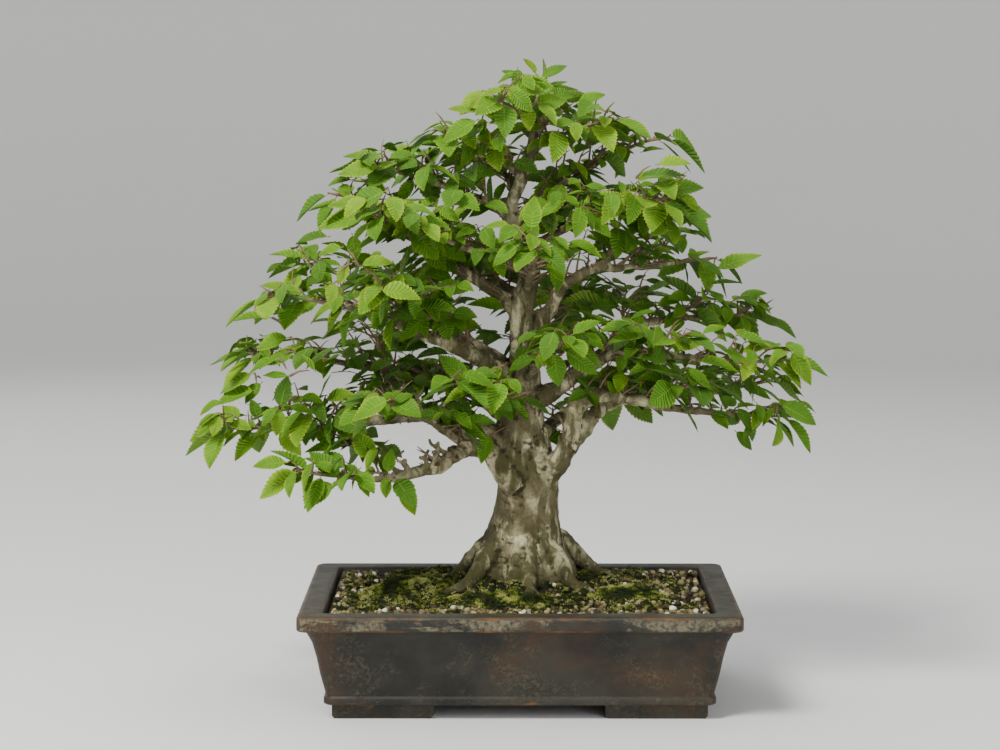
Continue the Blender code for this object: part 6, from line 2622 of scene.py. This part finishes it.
    def mark(self, pot: Object) -> None:
        """Keeps where the clay's edges are rusty, and where the rim's top and its face are.

        Args:
            pot: the pot.
        """
        points = Bench.points(pot)
        inset = np.minimum(self.length / 2 - np.abs(points[:, 0]), self.depth / 2 - np.abs(points[:, 1]))
        height = points[:, 2]
        zones = {}
        for name, low, high, near, far, strength in self.zones:
            inside = (height > low) & (height < high) & (inset > near) & (inset < far)
            zones[name] = zones.get(name, 0.0) + strength * inside
        post = points[:, 0] > self.length / 2 - 0.55 * self.corner
        burnt = post & (points[:, 1] < 0) & (height > 0.0800)
        zones["edge"] += 0.9 * burnt
        for name, values in zones.items():
            Bench.keep(pot, name, values)


@dataclass
class SoilBed:
    """The soil's crumbly surface, down to the pot's floor."""

    half_x: float = 0.1652
    half_y: float = 0.1102
    floor_x: float = 0.1540
    floor_y: float = 0.0990
    floor: float = 0.0203
    columns: int = 150
    rows: int = 100
    crumb: float = 0.0015
    hole_radius: float = 0.0425
    hole_floor: float = 0.0852

    def level(self, x: np.ndarray, y: np.ndarray) -> np.ndarray:
        """The height of the crumbly surface.

        Args:
            x: how far right of the pot's middle.
            y: how far behind the pot's middle.

        Returns:
            The heights.
        """
        flat = np.column_stack([x, y, np.full(len(x), 0.3)])
        rough = rumble(flat, 85.0) + 0.8 * rumble(flat, 230.0, 3.0)
        away = np.hypot(x - TRUNK_X, y - TRUNK_Y)
        under = np.clip((self.hole_radius - away) / 0.0015, 0.0, 1.0)
        level = soil_level(x, y) + self.crumb * rough - 0.0008
        return level * (1 - under) + self.hole_floor * under

    def build(self, finish: Material) -> Object:
        """Makes the soil and sets it in the solid's place.

        Args:
            finish: the piece's material.

        Returns:
            The piece.
        """
        u, v = np.meshgrid(np.linspace(-1, 1, self.columns + 1), np.linspace(-1, 1, self.rows + 1))
        x, y = u.ravel() * self.half_x, v.ravel() * self.half_y
        top = np.column_stack([x, y, self.level(x, y)])
        row = self.columns + 1
        faces = []
        for j in range(self.rows):
            for i in range(self.columns):
                a = j * row + i
                faces.append((a, a + 1, a + row + 1, a + row))
        border = list(range(row)) + [j * row + self.columns for j in range(1, self.rows + 1)]
        border += [self.rows * row + i for i in reversed(range(self.columns))]
        border += [j * row for j in reversed(range(1, self.rows))]
        low = top[border] * (self.floor_x / self.half_x, self.floor_y / self.half_y, 0.0)
        low[:, 2] = self.floor
        first = len(top)
        count = len(border)
        for k, a in enumerate(border):
            b = border[(k + 1) % count]
            faces.append((b, a, first + k, first + (k + 1) % count))
        faces.append(tuple(first + k for k in reversed(range(count))))
        soup = Soup()
        soup.add(np.vstack([top, low]), faces)
        bed = soup.build("soil_bed", (finish,))
        return settle(bed, "soil", Slot.SOIL)


class Cushion(NamedTuple):
    """A bed of moss: middle, half length, half width, heading in degrees and height."""

    name: str
    middle: tuple
    half_length: float
    half_width: float
    heading: float
    height: float


# The lumps in the beds: how fine, where in the noise, and their height in it
MOSS_LUMPS = (150.0, 8.0)
MOSS_LAYER = 0.7

CUSHIONS = (
    Cushion("left", (-0.100, -0.005), 0.046, 0.034, 12.0, 0.0085),
    Cushion("front", (-0.020, -0.062), 0.058, 0.022, -4.0, 0.0070),
    Cushion("right", (0.098, -0.030), 0.036, 0.026, -12.0, 0.0065),
)


def cushion_wave(cushion: Cushion, angle: np.ndarray) -> np.ndarray:
    """How far out the cushion's rim waves at an angle, as a share."""
    return 1.0 + 0.10 * np.sin(3 * angle + 90 * cushion.middle[0]) + 0.05 * np.sin(7 * angle + 2)


def cushion_share(cushion: Cushion, x: np.ndarray, y: np.ndarray) -> np.ndarray:
    """How far out a place is in a cushion: 0 in its middle, 1 at its rim.

    Args:
        cushion: the bed of moss.
        x: how far right of the pot's middle.
        y: how far behind the pot's middle.

    Returns:
        The shares.
    """
    turn = math.radians(cushion.heading)
    dx, dy = x - cushion.middle[0], y - cushion.middle[1]
    u = (dx * math.cos(turn) + dy * math.sin(turn)) / cushion.half_length
    v = (dy * math.cos(turn) - dx * math.sin(turn)) / cushion.half_width
    return np.hypot(u, v) / cushion_wave(cushion, np.arctan2(v, u))


@dataclass
class Moss:
    """The three beds of moss and the tufts round the trunk's foot."""

    soil: SoilBed
    sprig_height: tuple = (0.0018, 0.0040)
    sprigs: int = 1500
    tufts: int = 560
    tuft_sprigs: int = 12
    tuft_x: tuple = (-0.158, 0.150)
    tuft_y: tuple = (-0.104, 0.100)
    rings: int = 16
    sides: int = 84

    def surface(self, cushion: Cushion, x: np.ndarray, y: np.ndarray) -> np.ndarray:
        """The cushion's lumpy top.

        Args:
            cushion: the bed of moss.
            x: how far right of the pot's middle.
            y: how far behind the pot's middle.

        Returns:
            The heights.
        """
        share = np.clip(cushion_share(cushion, x, y), 0.0, 1.0)
        flat = np.column_stack([x, y, np.full(len(x), MOSS_LAYER)])
        lumps = 0.70 + 0.8 * rumble(flat, 62.0) + 0.9 * rumble(flat, *MOSS_LUMPS)
        return soil_level(x, y) + cushion.height * (1 - share ** 3.2) * np.clip(lumps, 0.15, 1.15)

    def build(self, finish: Material) -> list:
        """Makes every bed and the loose tufts.

        Args:
            finish: the piece's material.

        Returns:
            The pieces.
        """
        pieces = [self.bed(cushion, finish) for cushion in CUSHIONS]
        pieces.append(self.loose(finish))
        return pieces

    def bed(self, cushion: Cushion, finish: Material) -> Object:
        """One cushion with its sprigs, in its solid's place.

        Args:
            cushion: the bed of moss.
            finish: the piece's material.

        Returns:
            The piece.
        """
        draw = Random("moss " + cushion.name)
        soup = Soup("tuft", "tip")
        self.add_mat(soup, cushion)
        placed = 0
        count = round(self.sprigs * cushion.half_length * cushion.half_width / 0.00125)
        while placed < count:
            x = cushion.middle[0] + draw.uniform(-1.1, 1.1) * cushion.half_length
            y = cushion.middle[1] + draw.uniform(-1.6, 1.6) * cushion.half_width
            share = float(cushion_share(cushion, np.array([x]), np.array([y]))[0])
            lump = float(rumble(np.array([[x, y, MOSS_LAYER]]), *MOSS_LUMPS)[0])
            if share < 1.02 and draw.random() < 0.40 + 1.3 * lump:
                level = self.surface(cushion, np.array([x]), np.array([y]))[0]
                self.add_sprig(soup, np.array((x, y, level - 0.0006)), draw, 1.0 - 0.3 * share, 0.5 * lump)
                placed += 1
        bed = soup.build("moss_bed_" + cushion.name, (finish,))
        return settle(bed, "moss_" + cushion.name, Slot.MOSS)

    def add_mat(self, soup: Soup, cushion: Cushion) -> None:
        """The cushion's closed body under its sprigs, dark partly as older stems and partly with painted
        shade.

        Args:
            soup: the piece that it goes into.
            cushion: the bed of moss.
        """
        turn = math.radians(cushion.heading)
        shares = np.linspace(0.0, 1.0, self.rings + 1)[1:] ** 0.8
        angles = np.linspace(0, 2 * math.pi, self.sides, endpoint=False)
        wave = cushion_wave(cushion, angles)
        rings = [np.array([[*cushion.middle, 0.0]])]
        for share in shares:
            u = share * wave * cushion.half_length * np.cos(angles)
            v = share * wave * cushion.half_width * np.sin(angles)
            rings.append(np.column_stack([cushion.middle[0] + u * math.cos(turn) - v * math.sin(turn),
                                          cushion.middle[1] + u * math.sin(turn) + v * math.cos(turn),
                                          np.zeros(self.sides)]))
        top = np.vstack(rings)
        top[:, 2] = self.surface(cushion, top[:, 0], top[:, 1]) - 0.0004
        low = rings[-1] * (1.0, 1.0, 0.0)
        low[:, 2] = self.soil.level(low[:, 0], low[:, 1]) - 0.0022
        faces = [(0, 1 + k, 1 + (k + 1) % self.sides) for k in range(self.sides)]
        for i in range(self.rings):
            for k in range(self.sides):
                a, b = 1 + i * self.sides + k, 1 + i * self.sides + (k + 1) % self.sides
                faces.append((a, a + self.sides, b + self.sides, b))
        first = len(top)
        faces.append(tuple(first + k for k in reversed(range(self.sides))))
        tuft = 0.20 + 0.5 * rumble(top * (1, 1, 0) + (0, 0, MOSS_LAYER), *MOSS_LUMPS)
        tuft = np.concatenate([tuft, np.zeros(self.sides)])
        soup.add(np.vstack([top, low]), faces, tuft=np.clip(tuft, 0, 1), tip=0.30)

    def add_sprig(self, soup: Soup, place: np.ndarray, draw: Random, size: float,
                  paler: float, spikes: int = 5) -> None:
        """A sprig of thin closed spikes, made paler by so much.

        Args:
            soup: the piece that it goes into.
            place: its foot.
            draw: the source of its small differences.
            size: its height, as a share of the full height.
            paler: how much paler it is.
            spikes: how many spikes it has.
        """
        tone = 0.45 + 0.95 * noise.noise(Vector(place) * 55.0) + draw.uniform(-0.18, 0.32) + paler
        for _ in range(spikes):
            lean = draw.uniform(0.2, 1.3)
            angle = draw.uniform(0, 2 * math.pi)
            way = unit(np.array((lean * math.cos(angle), lean * math.sin(angle), 1.0)))
            tall = draw.uniform(*self.sprig_height) * size
            foot = place + np.array((draw.uniform(-1, 1), draw.uniform(-1, 1), 0.0)) * 0.0011
            across = unit(np.cross(way, (0.3, 0.9, 0.1)))
            beside = np.cross(way, across)
            thick = draw.uniform(0.00032, 0.00055)
            ring = [foot + thick * (across * math.cos(a) + beside * math.sin(a)) for a in (0.0, 2.09, 4.19)]
            soup.add(ring + [foot + way * tall], ((0, 1, 3), (1, 2, 3), (2, 0, 3), (2, 1, 0)),
                     tuft=float(np.clip(tone, 0, 1)), tip=np.array((0.0, 0.0, 0.0, 1.0)))

    def loose(self, finish: Material) -> Object:
        """Round tufts that creep over the soil and up between the roots.

        Args:
            finish: the piece's material.

        Returns:
            The piece.
        """
        draw = Random("loose moss")
        soup = Soup("tuft", "tip")
        for _ in range(self.tufts):
            x, y = self.tuft_place(draw)
            wide = draw.triangular(0.0026, 0.0085, 0.0045)
            tone = draw.uniform(-0.1, 0.30)
            level = float(self.soil.level(np.array([x]), np.array([y]))[0])
            close = math.hypot(x - TRUNK_X, y - TRUNK_Y) < 0.060
            wide *= 1.25 if close else 1.0
            high = wide * draw.uniform(0.70, 1.15) * (1.30 if close else 1.0)
            self.add_dome(soup, np.array((x, y, level)), wide, high, draw)
            for _ in range(round(self.tuft_sprigs * (wide / 0.005) ** 2)):
                out, angle = math.sqrt(draw.random()), draw.uniform(0, 2 * math.pi)
                foot = (x + wide * out * math.cos(angle), y + wide * out * math.sin(angle),
                        level - 0.0006 + high * (1 - out * out))
                self.add_sprig(soup, np.array(foot), draw, 0.74, tone + 0.08, 4)
        return settle(soup.build("moss_scatter", (finish,)), None, Slot.MOSS)

    def add_dome(self, soup: Soup, middle: np.ndarray, wide: float, high: float, draw: Random) -> None:
        """A tuft's closed dark body: partly older stems, partly painted shade.

        Args:
            soup: the piece that it goes into.
            middle: the middle of its foot.
            wide: its radius.
            high: its height.
            draw: the source of its small differences.
        """
        angles = np.linspace(0, 2 * math.pi, 8, endpoint=False) + draw.uniform(0, 1)
        ring = np.column_stack([np.cos(angles), np.sin(angles), np.zeros(8)])
        points = [middle + ring * wide * out + UP * rise for out, rise in
                  ((0.9, -0.0016), (0.9, 0.10 * high), (0.55, 0.60 * high))]
        points = np.vstack(points + [[middle + UP * 0.86 * high]])
        faces = [tuple(reversed(range(8)))]
        for k in range(8):
            b = (k + 1) % 8
            faces += [(k, b, b + 8, k + 8), (k + 8, b + 8, b + 16, k + 16), (k + 16, b + 16, 24)]
        soup.add(points, faces, tuft=0.18, tip=0.20)

    def tuft_place(self, draw: Random) -> tuple[float, float]:
        """A place for a tuft: most of them left of and before the trunk, few at the right.

        Args:
            draw: the source of its small differences.

        Returns:
            The place.
        """
        while True:
            x, y = draw.uniform(*self.tuft_x), draw.uniform(*self.tuft_y)
            share = 0.90 if x < 0.060 else 0.90 - 7.0 * (x - 0.060)
            share *= 0.35 if y < -0.088 else 1.0
            share *= 0.6 + 1.3 * noise.noise(Vector((x * 26.0, y * 26.0, 2.0)))
            away = math.hypot(x - TRUNK_X, y - TRUNK_Y)
            if away > 0.038 and draw.random() < max(share, 0.10):
                return x, y


@dataclass
class Grit:
    """Loose grains on the soil, thick at the pot's edges and corners."""

    soil: SoilBed
    count: int = 1700
    size: tuple = (0.0016, 0.0033)
    forms: int = 14
    reach_x: float = 0.163
    reach_y: float = 0.108

    def form(self, draw: Random) -> tuple[np.ndarray, list]:
        """A broken grain of a few flat faces.

        Args:
            draw: the source of its small differences.

        Returns:
            The points and the faces.
        """
        grain = Bench.add(bpy.ops.mesh.primitive_cube_add, "grain", size=1.5)
        Bench.edit("EDGE")
        bpy.ops.mesh.select_all(action="SELECT")
        bpy.ops.mesh.bevel(offset=0.38, segments=1, affect="EDGES")
        Bench.done()
        wide, tall = draw.uniform(0.75, 1.0), draw.uniform(0.65, 0.9)
        for point in grain.data.vertices:
            point.co *= draw.uniform(0.84, 1.14)
            point.co = (point.co.x, point.co.y * wide, point.co.z * tall)
        faces = [tuple(face.vertices) for face in grain.data.polygons]
        points = Bench.points(grain)
        bpy.data.objects.remove(grain)
        return points, faces

    def cover(self, x: float, y: float) -> float:
        """How much grit lies at a place, from 0 to 1.

        Args:
            x: how far right of the pot's middle.
            y: how far behind the pot's middle.

        Returns:
            The share.
        """
        field = 0.5 + 0.9 * noise.noise(Vector((x * 24.0, y * 24.0, 5.0)))
        right = min(1.0, max(0.0, (x - 0.045) / 0.05))
        cover = 0.06 + 0.50 * right * field + 0.40 * (x < -0.140)
        front = 0.95 if y < -0.090 + 0.012 * field else 0.0
        back = 0.6 if y > 0.085 and x > -0.02 else 0.0
        cover = max(cover, front, back)
        for cushion in CUSHIONS:
            share = float(cushion_share(cushion, np.array([x]), np.array([y]))[0])
            cover *= 0.10 if share < 0.92 else 1.0
        away = math.hypot(x - TRUNK_X, y - TRUNK_Y)
        return cover * min(1.0, max(0.0, (away - 0.040) / 0.030))

    def build(self, finish: Material) -> Object:
        """Strews the grains.

        Args:
            finish: the piece's material.

        Returns:
            The piece.
        """
        draw = Random("grit")
        forms = [self.form(draw) for _ in range(self.forms)]
        soup = Soup("grain")
        placed = 0
        while placed < self.count:
            x = draw.uniform(-self.reach_x, self.reach_x)
            y = draw.uniform(-self.reach_y, self.reach_y)
            if draw.random() > self.cover(x, y):
                continue
            points, faces = draw.choice(forms)
            size = draw.uniform(*self.size) * (1.25 if draw.random() < 0.12 else 1.0)
            turn = Euler([draw.uniform(-0.6, 0.6), draw.uniform(-0.6, 0.6), draw.uniform(0, 6.28)])
            turned_points = points @ np.array(turn.to_matrix()).T * size
            level = float(self.soil.level(np.array([x]), np.array([y]))[0])
            lift = 0.35 * size + draw.uniform(0.0, 0.9) * size * (placed > self.count * 0.6)
            soup.add(turned_points + (x, y, level + lift), faces, grain=draw.random())
            placed += 1
        grit = soup.build("grit", (finish,))
        Bench.finish(grit, finish, 60.0)
        return settle(grit, None, Slot.SOIL)


@dataclass(frozen=True)
class Lamp:
    """A soft square light: place, where it points, side, power and colour."""

    name: str
    place: tuple
    target: tuple
    side: float
    power: float
    colour: tuple = (1.0, 1.0, 1.0)


@dataclass
class Studio:
    """A round pale bowl of a floor, soft lights and the camera."""

    camera_place: tuple = (0.0074, -2.4877, 0.5420)
    camera_yaw: float = -0.00339
    camera_dip: float = 0.104343
    camera_lens: float = 99.81
    camera_sensor: float = 36.0
    floor_rings: tuple = ((3.0, 0.0), (3.5, 0.06), (3.9, 0.30), (4.15, 0.80), (4.25, 1.50), (4.30, 3.20))
    lamps: tuple = (
        Lamp("key", (-1.20, -1.60, 2.30), (0.0, 0.0, 0.25), 0.9, 108.0, (1.0, 0.985, 0.95)),
        Lamp("fill", (0.90, -2.30, 0.95), (0.0, 0.0, 0.25), 1.3, 29.0, (0.96, 0.98, 1.0)),
        Lamp("top", (0.10, 0.50, 2.60), (0.0, 0.0, 0.25), 1.8, 27.0),
        Lamp("back", (-1.20, 2.00, 1.50), (0.0, 0.0, 0.30), 1.4, 10.0),
    )
    sky: tuple = (0.80, 0.83, 0.86)
    sky_strength: float = 0.27

    def build(self) -> None:
        """Sets the floor, the lights and the camera."""
        self.floor()
        self.lights()
        self.camera()

    def floor(self) -> None:
        """A disc drawn up into a low wall all round."""
        radius, height = self.floor_rings[0]
        floor = Bench.add(bpy.ops.mesh.primitive_circle_add, "studio_floor", vertices=128, radius=radius,
                          fill_type="NGON")
        Bench.edit("EDGE")
        bpy.ops.mesh.select_all(action="SELECT")
        for wide, high in self.floor_rings[1:]:
            bpy.ops.mesh.extrude_edges_move(TRANSFORM_OT_translate={"value": (0.0, 0.0, high - height)})
            bpy.ops.transform.resize(value=(wide / radius, wide / radius, 1.0), center_override=(0, 0, 0))
            radius, height = wide, high
        bpy.ops.mesh.select_all(action="SELECT")
        bpy.ops.mesh.normals_make_consistent(inside=True)
        Bench.done()
        Bench.finish(floor, FloorFinish().material(), 60.0)

    def lights(self) -> None:
        """The lamps, and a pale even sky."""
        for lamp in self.lamps:
            data = bpy.data.lights.new(lamp.name, "AREA")
            data.size = lamp.side
            data.energy = lamp.power
            data.color = lamp.colour
            light = bpy.data.objects.new(lamp.name, data)
            light.location = lamp.place
            way = Vector(lamp.target) - Vector(lamp.place)
            light.rotation_euler = way.to_track_quat("-Z", "Y").to_euler()
            bpy.context.scene.collection.objects.link(light)
        world = bpy.data.worlds.new("studio_air")
        world.use_nodes = True
        sky = world.node_tree.nodes["Background"]
        sky.inputs["Color"].default_value = (*self.sky, 1.0)
        sky.inputs["Strength"].default_value = self.sky_strength
        bpy.context.scene.world = world

    def camera(self) -> None:
        """The camera where the photo was taken from."""
        data = bpy.data.cameras.new("camera")
        data.lens = self.camera_lens
        data.sensor_width = self.camera_sensor
        data.sensor_fit = "HORIZONTAL"
        camera = bpy.data.objects.new("camera", data)
        level = math.cos(self.camera_dip)
        way = Vector((math.sin(self.camera_yaw) * level, math.cos(self.camera_yaw) * level,
                      -math.sin(self.camera_dip)))
        camera.location = self.camera_place
        camera.rotation_euler = way.to_track_quat("-Z", "Y").to_euler()
        bpy.context.scene.collection.objects.link(camera)
        bpy.context.scene.camera = camera


def dress_meshes(finish: Material) -> None:
    """Gives the drain meshes' solids their finish.

    Args:
        finish: the plastic.
    """
    for name in ("drain_mesh_left", "drain_mesh_right"):
        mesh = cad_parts[name].data
        mesh.materials.clear()
        mesh.materials.append(finish)


def main() -> None:
    """Builds the pot, the soil and the moss, the wood and the leaves, and then the studio."""
    logging.basicConfig(level=logging.INFO, format="%(message)s")
    Pot().build(PotFinish().material())
    dress_meshes(MeshFinish().material())
    bed = SoilBed()
    bed.build(SoilFinish().material())
    Moss(bed).build(MossFinish().material())
    Grit(bed).build(GritFinish().material())
    growth = Growth()
    Wood(growth.stubs).build(BarkFinish().material())
    foliage = Foliage(growth, CROWN_BOX)
    foliage.add_shown()
    foliage.fill_sprays()
    foliage.fill_limbs()
    foliage.fill_bare()
    foliage.build(LeafFinish().material(), LeafFinish().material(under=True), TwigFinish().material())
    Studio().build()
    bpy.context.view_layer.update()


if __name__ == "__main__":
    main()
